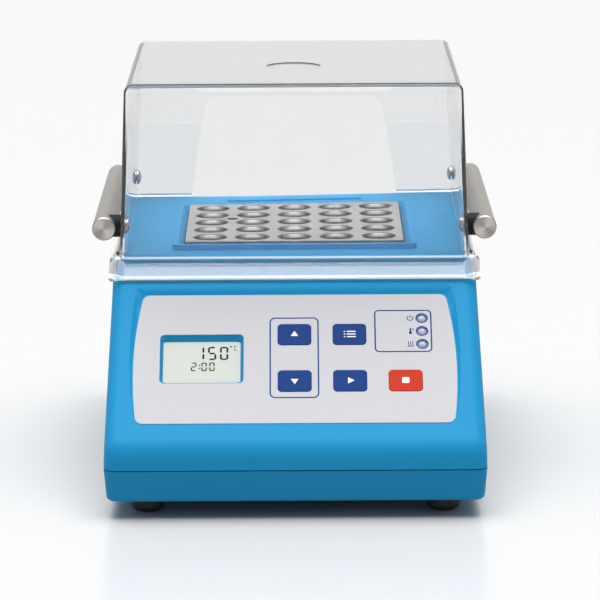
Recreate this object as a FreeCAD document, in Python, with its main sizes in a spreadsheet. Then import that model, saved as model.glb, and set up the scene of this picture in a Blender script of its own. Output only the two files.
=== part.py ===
"""Bench reactor for 16 mm digestion vials, in millimetres.

X runs to the right, Y to the back and Z up. The origin is on the table, under the middle of the
case. The front panel leans back, and pieces on it are drawn flat and then laid on its label plane.
"""
import FreeCAD, Part
import math
import os
from types import SimpleNamespace
import Sketcher
from FreeCAD import Placement, Rotation, Vector

# Driving sizes, in millimetres and degrees
SIZES = {
    # Case
    "case_width": 190.5,
    "case_depth": 300.0,
    "deck_inset": 2.6,
    "deck_height": 117.0,
    "seam_height": 25.4,
    "seam_gap": 0.5,
    "case_wall": 2.5,
    "case_edge_radius": 7.0,
    "panel_angle": 41.7,
    "panel_foot_height": 36.5,
    "panel_foot_radius": 14.0,
    "deck_front_radius": 8.0,
    "deck_rear_radius": 12.0,
    "rear_angle": 11.0,
    "overrun": 6.0,
    # Tray
    "tray_bottom": 9.1,
    "tray_draft_angle": 5.0,
    "tray_edge_radius": 2.4,
    "tongue_wall": 1.2,
    "tongue_rise": 2.0,
    "tongue_clearance": 0.7,
    "vent_length": 34.0,
    "vent_width": 3.0,
    "vent_pitch": 9.0,
    # Feet
    "foot_side_inset": 21.2,
    "foot_end_inset": 23.0,
    "foot_radius": 8.5,
    "foot_pad_radius": 4.5,
    "foot_neck_radius": 2.9,
    "foot_barb_radius": 3.8,
    "foot_barb_height": 1.5,
    "foot_shoulder": 3.4,
    # Case screws
    "case_screw_side_inset": 11.2,
    "case_screw_end_inset": 12.0,
    "case_boss_radius": 4.5,
    "case_boss_rise": 34.6,
    "case_rib_wall": 2.0,
    "case_rib_start": 3.4,
    "case_screw_radius": 1.5,
    "case_screw_head_radius": 3.0,
    "case_screw_head_height": 2.4,
    "case_screw_sink": 5.0,
    "case_screw_length": 20.0,
    "fit_clearance": 0.1,
    # Label plane and panel
    "label_foot": 11.3,
    "label_angle": 40.2,
    "label_length": 81.8,
    "label_side_margin": 16.05,
    "label_splay": 2.7,
    "label_bow": 3.2,
    "label_corner_radius": 4.0,
    "label_thickness": 0.3,
    "recess_margin": 0.6,
    "recess_side_run": 4.2,
    "recess_loft_height": 3.0,
    "recess_corner_radius": 4.6,
    "panel_wall": 2.5,
    "panel_back_margin": 5.6,
    "panel_back_head": 10.2,
    "panel_back_foot": 5.0,
    # Display
    "window_width": 42.2,
    "window_length": 31.2,
    "window_radius": 2.5,
    "window_edge": 0.25,
    "sight_width": 39.0,
    "sight_length": 26.6,
    "lcd_width": 46.0,
    "lcd_length": 34.0,
    "lcd_thickness": 2.8,
    "lcd_frame_wall": 2.0,
    "lcd_ledge": 2.2,
    "lcd_clearance": 0.2,
    # Keys
    "key_width": 16.7,
    "key_length": 13.2,
    "key_radius": 2.0,
    "key_rise": 0.35,
    "key_travel": 0.5,
    "key_side_gap": 0.2,
    "key_flange": 1.0,
    "key_flange_thickness": 1.1,
    "key_stem_radius": 2.5,
    # Lamps
    "lamp_pitch": 8.3,
    "lamp_radius": 2.5,
    "lamp_flange_radius": 2.9,
    "lamp_flange_height": 1.0,
    "lamp_rise": 0.5,
    "lamp_dome": 1.6,
    # Display board
    "display_board_gap": 7.5,
    "board_thickness": 1.6,
    "display_board_margin": 7.0,
    "display_board_foot": 8.0,
    "display_board_head": 7.8,
    "board_boss_inset": 4.0,
    "board_boss_end_inset": 5.0,
    "board_boss_radius": 3.0,
    "board_screw_radius": 1.25,
    "board_screw_length": 5.6,
    "board_screw_head_radius": 2.6,
    "board_screw_head_height": 1.6,
    "switch_body": 6.0,
    "switch_height": 3.6,
    "plunger_radius": 1.75,
    "plunger_height": 0.8,
    # Heater block
    "block_size": 113.4,
    "block_height": 68.0,
    "block_rise": 3.4,
    "block_corner_radius": 2.0,
    "well_radius": 8.5,
    "well_depth": 58.0,
    "well_pitch": 22.0,
    "well_chamfer": 0.7,
    "thermometer_radius": 3.25,
    "thermometer_depth": 50.0,
    "block_gap": 0.9,
    # Rim round the block
    "rim_setback": 15.75,
    "rim_land": 5.5,
    "rim_height": 2.8,
    "rim_radius": 4.0,
    "rim_mouth_radius": 2.6,
    "rim_slope_run": 3.0,
    "rim_slope_angle": 45.0,
    "deck_rib_width": 74.0,
    "deck_rib_depth": 2.5,
    "deck_rib_height": 0.9,
    "deck_rib_setback": 23.7,
    # Heater and what carries it
    "heater_mat_margin": 2.7,
    "heater_mat_thickness": 3.0,
    "clamp_plate_thickness": 3.0,
    "clamp_screw_inset": 6.0,
    "clamp_screw_radius": 2.0,
    "clamp_screw_grip": 6.0,
    "screw_head_radius": 3.5,
    "screw_head_height": 2.4,
    "standoff_radius": 5.0,
    "standoff_height": 12.0,
    "standoff_spread": 64.0,
    "insulation_wall": 12.0,
    "insulation_drop": 5.0,
    "carrier_margin": 15.3,
    "carrier_sheet": 1.5,
    "carrier_flange": 8.0,
    "post_radius": 4.5,
    "post_inset": 10.0,
    "post_screw_radius": 2.0,
    "post_screw_length": 10.0,
    "probe_radius": 2.4,
    "probe_height": 5.0,
    "probe_across": 11.0,
    "probe_depth": 40.0,
    "probe_tail": 16.0,
    "thermostat_radius": 8.0,
    "thermostat_body_radius": 7.0,
    "thermostat_flange": 2.0,
    "thermostat_height": 8.0,
    "thermostat_blade_width": 5.0,
    "thermostat_blade_sheet": 0.8,
    "thermostat_blade_length": 3.6,
    "thermostat_blade_spread": 8.0,
    # Main board
    "main_board_width": 120.0,
    "main_board_depth": 64.0,
    "main_board_setback": 14.0,
    "spacer_height": 6.0,
    "spacer_radius": 3.0,
    "spacer_pin_radius": 1.5,
    "spacer_cap_height": 1.0,
    "spacer_inset": 5.0,
    "transformer_across": -33.0,
    "transformer_back": 12.0,
    "transformer_core_width": 42.0,
    "transformer_core_depth": 18.0,
    "transformer_core_height": 34.0,
    "winding_width": 30.0,
    "winding_depth": 31.0,
    "winding_height": 22.0,
    "winding_lift": 6.0,
    "heat_sink_across": 30.0,
    "heat_sink_back": 17.0,
    "heat_sink_width": 40.0,
    "heat_sink_depth": 18.0,
    "heat_sink_height": 26.0,
    "heat_sink_base": 3.0,
    "heat_sink_fin": 1.6,
    "triac_width": 10.0,
    "triac_thickness": 4.5,
    "triac_height": 15.0,
    "triac_lift": 3.0,
    "relay_width": 19.0,
    "relay_depth": 15.0,
    "relay_height": 15.5,
    "relay_corner_radius": 1.0,
    "relay_across": -2.0,
    "relay_back": -18.0,
    "terminal_width": 30.0,
    "terminal_depth": 9.0,
    "terminal_height": 12.0,
    "terminal_across": 36.0,
    "terminal_back": -20.0,
    "terminal_pitch": 5.0,
    "terminal_hole_radius": 1.4,
    "header_width": 19.0,
    "header_depth": 5.0,
    "header_height": 5.0,
    "ribbon_width": 16.0,
    "ribbon_thickness": 0.9,
    "ribbon_back": 20.0,
    "ribbon_up": 40.0,
    "ribbon_bend_radius": 9.0,
    # Rear recess, inlet and switch
    "rear_recess_width": 96.0,
    "rear_recess_foot": 38.0,
    "rear_recess_height": 54.0,
    "rear_recess_depth": 16.0,
    "rear_recess_radius": 4.0,
    "inlet_across": -18.0,
    "inlet_flange_width": 50.0,
    "inlet_flange_height": 36.0,
    "inlet_flange_thickness": 3.0,
    "inlet_flange_radius": 3.0,
    "inlet_body_width": 31.0,
    "inlet_body_height": 32.0,
    "inlet_body_depth": 24.0,
    "socket_width": 24.8,
    "socket_height": 16.8,
    "socket_depth": 17.0,
    "socket_bevel": 4.5,
    "socket_up": 4.6,
    "pin_width": 2.0,
    "pin_height": 4.0,
    "pin_length": 14.0,
    "pin_root": 3.0,
    "pin_spread": 14.0,
    "pin_rise": 2.0,
    "inlet_screw_spread": 40.0,
    "inlet_screw_radius": 1.5,
    "inlet_screw_head_radius": 2.8,
    "inlet_screw_head_height": 1.8,
    "inlet_screw_length": 9.0,
    "drawer_width": 25.6,
    "drawer_height": 7.2,
    "drawer_depth": 23.0,
    "drawer_rise": 1.0,
    "drawer_down": 10.6,
    "drawer_clearance": 0.2,
    "drawer_floor": 1.0,
    "drawer_pocket_width": 21.0,
    "drawer_pocket_depth": 11.6,
    "drawer_pocket_back": 1.4,
    "fuse_radius": 2.6,
    "fuse_length": 20.0,
    "switch_across": 31.0,
    "switch_flange_width": 22.0,
    "switch_flange_height": 30.0,
    "switch_flange_thickness": 2.0,
    "switch_flange_radius": 1.5,
    "switch_body_width": 19.0,
    "switch_body_height": 28.0,
    "switch_body_depth": 20.0,
    "rocker_width": 14.4,
    "rocker_half_height": 11.4,
    "rocker_crown": 8.0,
    "rocker_edge": 3.5,
    "rocker_keel": 2.0,
    "rocker_keel_half_height": 4.0,
    "rocker_angle": 10.0,
    "rocker_side_gap": 0.3,
    "rocker_end_gap": 1.3,
    "rocker_under_gap": 3.0,
    "rocker_pivot_inset": 4.6,
    "rocker_pin_radius": 1.5,
    "rocker_pin_length": 1.2,
    # Safety shield
    "shield_wall": 2.0,
    "shield_clearance": 0.3,
    "shield_shoulder": 2.85,
    "shield_overhang": 4.6,
    "shield_rear_setback": 4.2,
    "shield_sink": 3.0,
    "shield_rise": 88.5,
    "shield_draft_angle": 2.2,
    "shield_edge_radius": 4.5,
    "skirt_edge_sharpening": 3.0,
    "cove_run": 2.3,
    "cove_angle": 31.0,
    "top_flat": 0.2,
    "lip_drop": 10.9,
    "rear_window_rise": 57.7,
    "rear_window_top_width": 97.0,
    "rear_window_foot_width": 115.0,
    "rear_window_radius": 8.0,
    "disc_radius": 14.25,
    "disc_depth": 0.5,
    "disc_setback": 77.25,
    # Handles
    "handle_radius": 6.0,
    "handle_length": 176.0,
    "handle_reach": 7.9,
    "handle_rise": 14.0,
    "handle_setback": 5.25,
    "handle_chamfer": 0.5,
    "handle_screw_spread": 155.0,
    "handle_screw_radius": 2.0,
    "handle_screw_grip": 5.0,
    "handle_screw_head_radius": 4.0,
    "handle_screw_dome": 2.4,
    "handle_spacer_radius": 5.8,
    "handle_saddle_depth": 3.6,
}

GRID = 5
SINK_FINS = 6
VENT_SLOTS = 7
TERMINAL_WAYS = 5

# Places on the label, as shares of its foot's width from the middle and of its length from the foot
window_shares = (-0.2957, 0.4976)
key_shares = {
    "key_up": (-0.0013, 0.6834),
    "key_down": (-0.0013, 0.3215),
    "key_program": (0.174, 0.6834),
    "key_start": (0.174, 0.3215),
    "key_stop": (0.3493, 0.3215),
}
lamp_shares = (0.4054, 0.7078)


class Size:
    """A size that knows its number and its formula in the sheet."""

    def __init__(self, number, formula):
        self.number = number
        self.formula = formula

    def __float__(self):
        return self.number

    def __neg__(self):
        return Size(-self.number, "(-%s)" % self.formula)

    def __add__(self, other):
        other = as_size(other)
        return Size(self.number + other.number, "(%s + %s)" % (self.formula, other.formula))

    def __sub__(self, other):
        other = as_size(other)
        return Size(self.number - other.number, "(%s - %s)" % (self.formula, other.formula))

    def __mul__(self, other):
        other = as_size(other)
        return Size(self.number * other.number, "(%s * %s)" % (self.formula, other.formula))

    def __truediv__(self, other):
        other = as_size(other)
        return Size(self.number / other.number, "(%s / %s)" % (self.formula, other.formula))

    def __radd__(self, other):
        return as_size(other) + self

    def __rsub__(self, other):
        return as_size(other) - self

    def __rmul__(self, other):
        return as_size(other) * self


def as_size(value):
    if isinstance(value, Size):
        return value
    return Size(float(value), repr(float(value)))


def sine(angle):
    return Size(math.sin(math.radians(float(angle))), "sin(%s)" % angle.formula)


def cosine(angle):
    return Size(math.cos(math.radians(float(angle))), "cos(%s)" % angle.formula)


def tangent(angle):
    return Size(math.tan(math.radians(float(angle))), "tan(%s)" % angle.formula)


def root(size):
    return Size(math.sqrt(float(size)), "sqrt(%s)" % size.formula)


def dome_bow(radius, rise):
    """How far the arc of a round cap stands out from the chord between its rim and its top."""
    chord_squared = radius * radius + rise * rise
    ball = chord_squared / (rise * 2)
    return ball - root(ball * ball - chord_squared / 4)


def bind(thing, prop, size):
    thing.setExpression(prop, as_size(size).formula)


# The document and its sheet of sizes
doc = FreeCAD.newDocument("reactor")
sheet = doc.addObject("Spreadsheet::Sheet", "Sizes")
for row, (alias, number) in enumerate(SIZES.items(), start=1):
    sheet.set("A%d" % row, alias)
    sheet.set("B%d" % row, str(number))
    sheet.setAlias("B%d" % row, alias)
doc.recompute()
dim = SimpleNamespace(**{alias: Size(float(sheet.get(alias)), "Sizes." + alias) for alias in SIZES})
zero = as_size(0)

X_AXIS = Vector(1, 0, 0)
Y_AXIS = Vector(0, 1, 0)
Z_AXIS = Vector(0, 0, 1)
RIGHT = 90
TURN = 360
nodes = []


def keep(thing, label):
    """Take a finished piece into the list that is written out."""
    thing.Label = label
    nodes.append(thing)
    return thing


def put(thing, at, axis=Z_AXIS, angle=0):
    """Place a thing at three sizes, turned about one axis."""
    turn = as_size(angle)
    thing.Placement = Placement(Vector(*[float(size) for size in at]), Rotation(axis, float(turn)))
    for letter, size in zip("xyz", at):
        bind(thing, "Placement.Base." + letter, size)
    if isinstance(angle, Size):
        bind(thing, "Placement.Rotation.Angle", turn)
    return thing


def cuboid(name, width, depth, height, at):
    """A box whose place is the middle of its bottom face."""
    box = doc.addObject("Part::Box", name)
    for prop, size in (("Length", width), ("Width", depth), ("Height", height)):
        bind(box, prop, size)
    return put(box, (at[0] - width / 2, at[1] - depth / 2, at[2]))


def rod(name, radius, length, at, axis=Z_AXIS, angle=0):
    """A cylinder that starts at its place and runs along Z, or where the turn takes Z."""
    cylinder = doc.addObject("Part::Cylinder", name)
    bind(cylinder, "Radius", radius)
    bind(cylinder, "Height", length)
    return put(cylinder, at, axis, angle)


def fuse(name, shapes):
    union = doc.addObject("Part::MultiFuse", name)
    union.Shapes = shapes
    union.Refine = True
    return union


def group(name, shapes):
    """Separate solids kept as one piece."""
    together = doc.addObject("Part::Compound", name)
    together.Links = shapes
    return together


def cut(name, base, tools):
    tool = tools[0] if len(tools) == 1 else fuse(name + "_tools", tools)
    difference = doc.addObject("Part::Cut", name)
    difference.Base = base
    difference.Tool = tool
    difference.Refine = True
    return difference


def common(name, first, second):
    overlap = doc.addObject("Part::Common", name)
    overlap.Base = first
    overlap.Tool = second
    overlap.Refine = True
    return overlap


def new_body(name):
    return doc.addObject("PartDesign::Body", name)


def new_sketch(body, name, role, at=(zero, zero, zero)):
    """A sketch on one of the body's own origin planes."""
    sketch = body.newObject("Sketcher::SketchObject", name)
    plane = [feature for feature in body.Origin.OriginFeatures if feature.Role == role][0]
    sketch.AttachmentSupport = [(plane, "")]
    sketch.MapMode = "FlatFace"
    for letter, size in zip("xyz", at):
        bind(sketch, "AttachmentOffset.Base." + letter, size)
    return sketch


def pin_point(sketch, segment, x, y):
    """Hold the start of a segment at two sizes."""
    for kind, size, axis in (("DistanceX", as_size(x), -2), ("DistanceY", as_size(y), -1)):
        if size.number == 0:
            sketch.addConstraint(Sketcher.Constraint("PointOnObject", segment, 1, axis))
            continue
        held = sketch.addConstraint(Sketcher.Constraint(kind, -1, 1, segment, 1, size.number))
        sketch.setExpression("Constraints[%d]" % held, size.formula)


def draw_outline(sketch, corners, bows=None):
    """Join the corners by lines. A side with a bow is an arc that stands out by that much."""
    bows = bows or {}
    count = len(corners)
    for index in range(count):
        start = Vector(float(corners[index][0]), float(corners[index][1]), 0)
        end_corner = corners[(index + 1) % count]
        end = Vector(float(end_corner[0]), float(end_corner[1]), 0)
        if index in bows:
            chord = end - start
            outward = Vector(chord.y, -chord.x, 0).normalize()
            crown = (start + end) / 2 + outward * float(bows[index])
            sketch.addGeometry(Part.Arc(start, crown, end))
        else:
            sketch.addGeometry(Part.LineSegment(start, end))
    for index in range(count):
        following = (index + 1) % count
        sketch.addConstraint(Sketcher.Constraint("Coincident", index, 2, following, 1))
    for index, (x, y) in enumerate(corners):
        pin_point(sketch, index, x, y)
    for index, bow in bows.items():
        across = as_size(corners[(index + 1) % count][0]) - corners[index][0]
        along = as_size(corners[(index + 1) % count][1]) - corners[index][1]
        radius = (across * across + along * along) / (bow * 8) + bow / 2
        held = sketch.addConstraint(Sketcher.Constraint("Radius", index, radius.number))
        sketch.setExpression("Constraints[%d]" % held, radius.formula)


def draw_rounded(sketch, width, depth, radius):
    """A rectangle with round corners, centred on the sketch's origin."""
    half_x = float(width) / 2
    half_y = float(depth) / 2
    r = float(radius)
    quarter = math.pi / 2
    turns = [(half_x - r, r - half_y, -quarter), (half_x - r, half_y - r, 0.0),
             (r - half_x, half_y - r, quarter), (r - half_x, r - half_y, 2 * quarter)]
    runs = [((r - half_x, -half_y), (half_x - r, -half_y)), ((half_x, r - half_y), (half_x, half_y - r)),
            ((half_x - r, half_y), (r - half_x, half_y)), ((-half_x, half_y - r), (-half_x, r - half_y))]
    for (start, end), (x, y, angle) in zip(runs, turns):
        sketch.addGeometry(Part.LineSegment(Vector(*start, 0), Vector(*end, 0)))
        circle = Part.Circle(Vector(x, y, 0), Z_AXIS, r)
        sketch.addGeometry(Part.ArcOfCircle(circle, angle, angle + quarter))
    for index in range(8):
        sketch.addConstraint(Sketcher.Constraint("Tangent", index, 2, (index + 1) % 8, 1))
    for index, way in ((0, "Horizontal"), (2, "Vertical"), (4, "Horizontal"), (6, "Vertical")):
        sketch.addConstraint(Sketcher.Constraint(way, index))
    held = sketch.addConstraint(Sketcher.Constraint("Radius", 1, r))
    sketch.setExpression("Constraints[%d]" % held, as_size(radius).formula)
    for index in (3, 5, 7):
        sketch.addConstraint(Sketcher.Constraint("Equal", 1, index))
    sides = (("DistanceY", 0, depth / -2), ("DistanceX", 2, width / 2),
             ("DistanceY", 4, depth / 2), ("DistanceX", 6, width / -2))
    for kind, index, size in sides:
        held = sketch.addConstraint(Sketcher.Constraint(kind, -1, 1, index, 1, size.number))
        sketch.setExpression("Constraints[%d]" % held, size.formula)


def pad(body, sketch, length, symmetric=False, taper=None, downwards=False):
    feature = body.newObject("PartDesign::Pad", body.Name + "_pad")
    feature.Profile = sketch
    feature.SideType = "Symmetric" if symmetric else "One side"
    feature.Reversed = downwards
    bind(feature, "Length", length)
    if taper is not None:
        bind(feature, "TaperAngle", taper)
    sketch.Visibility = False
    return feature


def plate(name, width, depth, height, radius, at=(zero, zero, zero), taper=None, downwards=False):
    """A slab with round corners. Its place is the middle of the face that it starts from."""
    body = new_body(name)
    sketch = new_sketch(body, name + "_outline", "XY_Plane", at)
    draw_rounded(sketch, width, depth, radius)
    pad(body, sketch, height, taper=taper, downwards=downwards)
    return body


def profile(name, corners, width, role="YZ_Plane", at=(zero, zero, zero)):
    """An outline drawn out evenly to both sides of its plane."""
    body = new_body(name)
    sketch = new_sketch(body, name + "_outline", role, at)
    draw_outline(sketch, corners)
    pad(body, sketch, width, symmetric=True)
    return body


def turned(name, corners, at, axis=Z_AXIS, angle=0, bows=None):
    """A turned piece. Each corner gives a radius and a height."""
    body = new_body(name)
    sketch = new_sketch(body, name + "_outline", "XZ_Plane")
    draw_outline(sketch, corners, bows)
    feature = body.newObject("PartDesign::Revolution", name + "_turn")
    feature.Profile = sketch
    feature.ReferenceAxis = (sketch, ["V_Axis"])
    feature.Angle = TURN
    return put(body, at, axis, angle)


def round_edges(name, base, chosen):
    """Round edges of a shape. Each choice is a test on an edge and a radius."""
    doc.recompute()
    edges = []
    for index, edge in enumerate(base.Shape.Edges, start=1):
        for wanted, radius in chosen:
            if wanted(edge):
                edges.append((index, float(radius), float(radius)))
                break
    rounded = doc.addObject("Part::Fillet", name)
    rounded.Base = base
    rounded.Edges = edges
    return rounded


def near(first, second, slack=1e-4):
    return abs(float(first) - float(second)) < slack * float(dim.case_depth)


def runs_along(edge, axis):
    """Whether an edge is straight and lies along an axis."""
    first, last = edge.firstVertex().Point, edge.lastVertex().Point
    reach = last - first
    return reach.Length > 0 and abs(reach.normalize().dot(axis)) > 1 - 1e-6


def four(spread, base, centre=zero):
    """The four corners of a rectangle about the middle line."""
    for side in (-1, 1):
        for end in (-1, 1):
            yield spread / 2 * side, centre + base / 2 * end


# The case as a grown or shrunken form

half_depth = dim.case_depth / 2
front = -half_depth
deck_width = dim.case_width - dim.deck_inset * 2
deck_front = front + (dim.deck_height - dim.panel_foot_height) / tangent(dim.panel_angle)
deck_rear = half_depth - (dim.deck_height - dim.seam_height) * tangent(dim.rear_angle)
side_lean = dim.deck_inset / (dim.deck_height - dim.seam_height)


def case_form(name, grow, foot, sharpening=zero):
    """The case's outer form down to a height, with every face moved out by one distance."""
    half_slope = dim.panel_angle / 2
    rear_half_turn = (RIGHT - dim.rear_angle) / 2
    foot_half_turn = (RIGHT - dim.panel_angle) / 2
    fall = dim.seam_height - foot
    rear_foot = half_depth + grow / cosine(dim.rear_angle) + fall * tangent(dim.rear_angle)
    side_corners = [
        (front - grow, foot),
        (rear_foot, foot),
        (deck_rear + grow * tangent(rear_half_turn), dim.deck_height + grow),
        (deck_front - grow * tangent(half_slope), dim.deck_height + grow),
        (front - grow, dim.panel_foot_height + grow * tangent(foot_half_turn)),
    ]
    side = profile(name + "_side", side_corners, dim.case_width * 2)
    top = dim.deck_height + grow
    foot_half = dim.case_width / 2 + grow + fall * side_lean
    top_half = dim.case_width / 2 + grow - (top - dim.seam_height) * side_lean
    face_corners = [(-foot_half, foot), (foot_half, foot), (top_half, top), (-top_half, top)]
    face = profile(name + "_face", face_corners, dim.case_depth * 2, role="XZ_Plane")
    blank = common(name + "_blank", side, face)

    def crosses(corner):
        def test(edge):
            if not runs_along(edge, X_AXIS):
                return False
            point = edge.firstVertex().Point
            return near(point.y, corner[0]) and near(point.z, corner[1])
        return test

    bends = round_edges(name + "_bends", blank, [
        (crosses(side_corners[4]), dim.panel_foot_radius + grow),
        (crosses(side_corners[3]), dim.deck_front_radius + grow),
        (crosses(side_corners[2]), dim.deck_rear_radius + grow),
    ])

    def on_side(edge):
        ends = [vertex.Point for vertex in edge.Vertexes]
        at_foot = all(near(point.z, foot) for point in ends)
        across = edge.CenterOfMass.x
        return not at_foot and abs(across) > float(top_half) * 0.98 and not runs_along(edge, X_AXIS)

    return round_edges(name, bends, [(on_side, dim.case_edge_radius + grow - sharpening)])


# Panel-plane helpers

label_y = front + dim.label_foot
label_z = dim.panel_foot_height + dim.label_foot * tangent(dim.panel_angle)
label_top_width = deck_width - dim.label_side_margin * 2
label_foot_width = label_top_width + dim.label_splay * 2


def on_label(shares):
    """A place on the label plane: across from the middle, and up from the foot."""
    return label_foot_width * shares[0], dim.label_length * shares[1]


def lay_on_panel(thing):
    """Lay a flat-drawn thing on the label plane: its X across, its Y up the slope, its Z out."""
    return put(thing, (zero, label_y, label_z), X_AXIS, dim.label_angle)


def label_outline(name, margin, lift):
    """The label's outline, widened by a margin, on a plane above the label plane."""
    body = new_body(name)
    sketch = new_sketch(body, name + "_outline", "XY_Plane", (zero, zero, lift))
    foot_half = label_foot_width / 2 + margin
    top_half = label_top_width / 2 + margin
    top = dim.label_length + margin
    corners = [(-foot_half, -margin), (foot_half, -margin), (top_half, top), (-top_half, top)]
    draw_outline(sketch, corners, {1: dim.label_bow, 3: dim.label_bow})
    return body, sketch


KEYS = {name: on_label(shares) for name, shares in key_shares.items()}
window_across, window_up = on_label(window_shares)
lamp_across, lamp_row = on_label(lamp_shares)
LAMPS = [(lamp_across, lamp_row + dim.lamp_pitch * step) for step in (-1, 0, 1)]
panel_back_width = deck_width - dim.panel_back_margin * 2
display_board_width = panel_back_width - dim.display_board_margin * 2
display_board_top = dim.label_length - dim.display_board_head
board_front = -(dim.panel_wall + dim.display_board_gap)
board_back = board_front - dim.board_thickness
board_bosses = [((display_board_width / 2 - dim.board_boss_inset) * side, up) for side in (-1, 1)
                for up in (dim.display_board_foot + dim.board_boss_end_inset,
                           display_board_top - dim.board_boss_end_inset)]

# Heights in the block's stack, from the top down
block_top = dim.deck_height + dim.block_rise
block_bottom = block_top - dim.block_height
mat_bottom = block_bottom - dim.heater_mat_thickness
clamp_bottom = mat_bottom - dim.clamp_plate_thickness
carrier_top = clamp_bottom - dim.standoff_height
carrier_bottom = carrier_top - dim.carrier_sheet
tray_floor = dim.tray_bottom + dim.case_wall
opening = dim.block_size + dim.block_gap * 2
rim_width = opening + dim.rim_land * 2
block_middle = deck_front + dim.rim_setback + rim_width / 2
mat_size = dim.block_size - dim.heater_mat_margin * 2
carrier_size = dim.block_size + dim.carrier_margin * 2
clamp_spread = mat_size - dim.clamp_screw_inset * 2
post_spread = carrier_size - dim.post_inset * 2
clamp_screws = list(four(clamp_spread, clamp_spread, block_middle))
standoffs = list(four(dim.standoff_spread, dim.standoff_spread, block_middle))
posts = list(four(post_spread, post_spread, block_middle))
case_screws = list(four(dim.case_width - dim.case_screw_side_inset * 2,
                        dim.case_depth - dim.case_screw_end_inset * 2))
feet = list(four(dim.case_width - dim.foot_side_inset * 2, dim.case_depth - dim.foot_end_inset * 2))

main_board_middle = front + dim.main_board_setback + dim.main_board_depth / 2

# Rear recess
recess_floor = half_depth - dim.rear_recess_depth
recess_middle = dim.rear_recess_foot + dim.rear_recess_height / 2
pivot_y = recess_floor + dim.switch_flange_thickness - dim.rocker_pivot_inset


def make_upper_housing():
    outer = case_form("case_outer", zero, dim.seam_height)
    inner = case_form("case_inner", -dim.case_wall, dim.seam_height - dim.overrun)
    shell = cut("case_shell", outer, [inner])
    middle = block_middle
    # What stands inside the shell, cut off at the outer skin
    back_top = dim.label_length + dim.panel_back_head
    backing = cuboid("panel_backing", panel_back_width, back_top + dim.panel_back_foot,
                     dim.panel_wall + dim.recess_loft_height,
                     (zero, (back_top - dim.panel_back_foot) / 2, -dim.panel_wall))
    backing = lay_on_panel(group("panel_backing_laid", [backing]))
    box_depth = dim.rear_recess_depth + dim.case_wall + dim.overrun
    recess_box = cuboid("rear_recess_box", dim.rear_recess_width + dim.case_wall * 2, box_depth,
                        dim.rear_recess_height + dim.case_wall * 2,
                        (zero, recess_floor - dim.case_wall + box_depth / 2,
                         dim.rear_recess_foot - dim.case_wall))
    inside = [backing, recess_box]
    for index, (x, y) in enumerate(case_screws):
        inside.append(rod("case_boss_%d" % index, dim.case_boss_radius, dim.case_boss_rise,
                          (x, y, dim.seam_height)))
        side = 1 if float(x) > 0 else -1
        inside.append(cuboid("case_rib_%d" % index, dim.case_screw_side_inset, dim.case_rib_wall,
                             dim.case_boss_rise - dim.case_rib_start,
                             (x + dim.case_screw_side_inset / 2 * side, y,
                              dim.seam_height + dim.case_rib_start)))
    inside = common("case_inside", fuse("case_inside_parts", inside), outer_copy())
    rim = plate("rim", rim_width, rim_width, dim.rim_height + dim.case_wall, dim.rim_radius,
                (zero, middle, dim.deck_height - dim.case_wall))
    rib = cuboid("deck_rib", dim.deck_rib_width, dim.deck_rib_depth, dim.deck_rib_height + dim.case_wall / 2,
                 (zero, middle + rim_width / 2 + dim.deck_rib_setback, dim.deck_height - dim.case_wall / 2))
    bosses = lay_on_panel(group("board_bosses", [
        rod("board_boss_%d" % index, dim.board_boss_radius, dim.display_board_gap + dim.panel_wall / 2,
            (x, y, board_front)) for index, (x, y) in enumerate(board_bosses)]))
    solid = fuse("case_solid", [shell, inside, rim, rib, bosses])
    # What is cut away
    mouth = plate("block_mouth", opening, opening, dim.case_wall * 2 + dim.rim_height + dim.overrun,
                  dim.rim_mouth_radius, (zero, middle, dim.deck_height - dim.case_wall * 2))
    rim_top = dim.deck_height + dim.rim_height
    slope_foot = rim_top - dim.rim_slope_run
    slope = plate("rim_slope", opening, opening, dim.rim_slope_run + dim.case_wall, dim.rim_mouth_radius,
                  (zero, middle, slope_foot), taper=dim.rim_slope_angle)
    recess = plate("rear_recess", dim.rear_recess_width, dim.rear_recess_height,
                   dim.rear_recess_depth + dim.overrun, dim.rear_recess_radius)
    put(recess, (zero, recess_floor, recess_middle), X_AXIS, -RIGHT)
    inlet_hole = cuboid("inlet_hole", dim.inlet_body_width + dim.fit_clearance * 2, dim.case_wall * 4,
                        dim.inlet_body_height + dim.fit_clearance * 2,
                        (dim.inlet_across, recess_floor, recess_middle - dim.inlet_body_height / 2
                         - dim.fit_clearance))
    switch_hole = cuboid("switch_hole", dim.switch_body_width + dim.fit_clearance * 2, dim.case_wall * 4,
                         dim.switch_body_height + dim.fit_clearance * 2,
                         (dim.switch_across, recess_floor, recess_middle - dim.switch_body_height / 2
                          - dim.fit_clearance))
    away = [mouth, slope, recess, inlet_hole, switch_hole, panel_cuts()]
    for side in (-1, 1):
        away.append(rod("inlet_screw_hole_%d" % (side + 1), dim.inlet_screw_radius + dim.fit_clearance / 2,
                        dim.inlet_screw_length * 2,
                        (dim.inlet_across + dim.inlet_screw_spread / 2 * side,
                         recess_floor + dim.inlet_screw_length, recess_middle), X_AXIS, RIGHT))
    for index, (x, y) in enumerate(case_screws):
        away.append(rod("case_pilot_%d" % index, dim.case_screw_radius + dim.fit_clearance / 2,
                        dim.case_screw_length, (x, y, dim.seam_height - dim.overrun)))
    keep(cut("upper_housing", solid, away), "upper_housing")


def outer_copy():
    """The outer form again, as its own object, to trim what stands inside."""
    return case_form("case_trim", zero, dim.seam_height)


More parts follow.
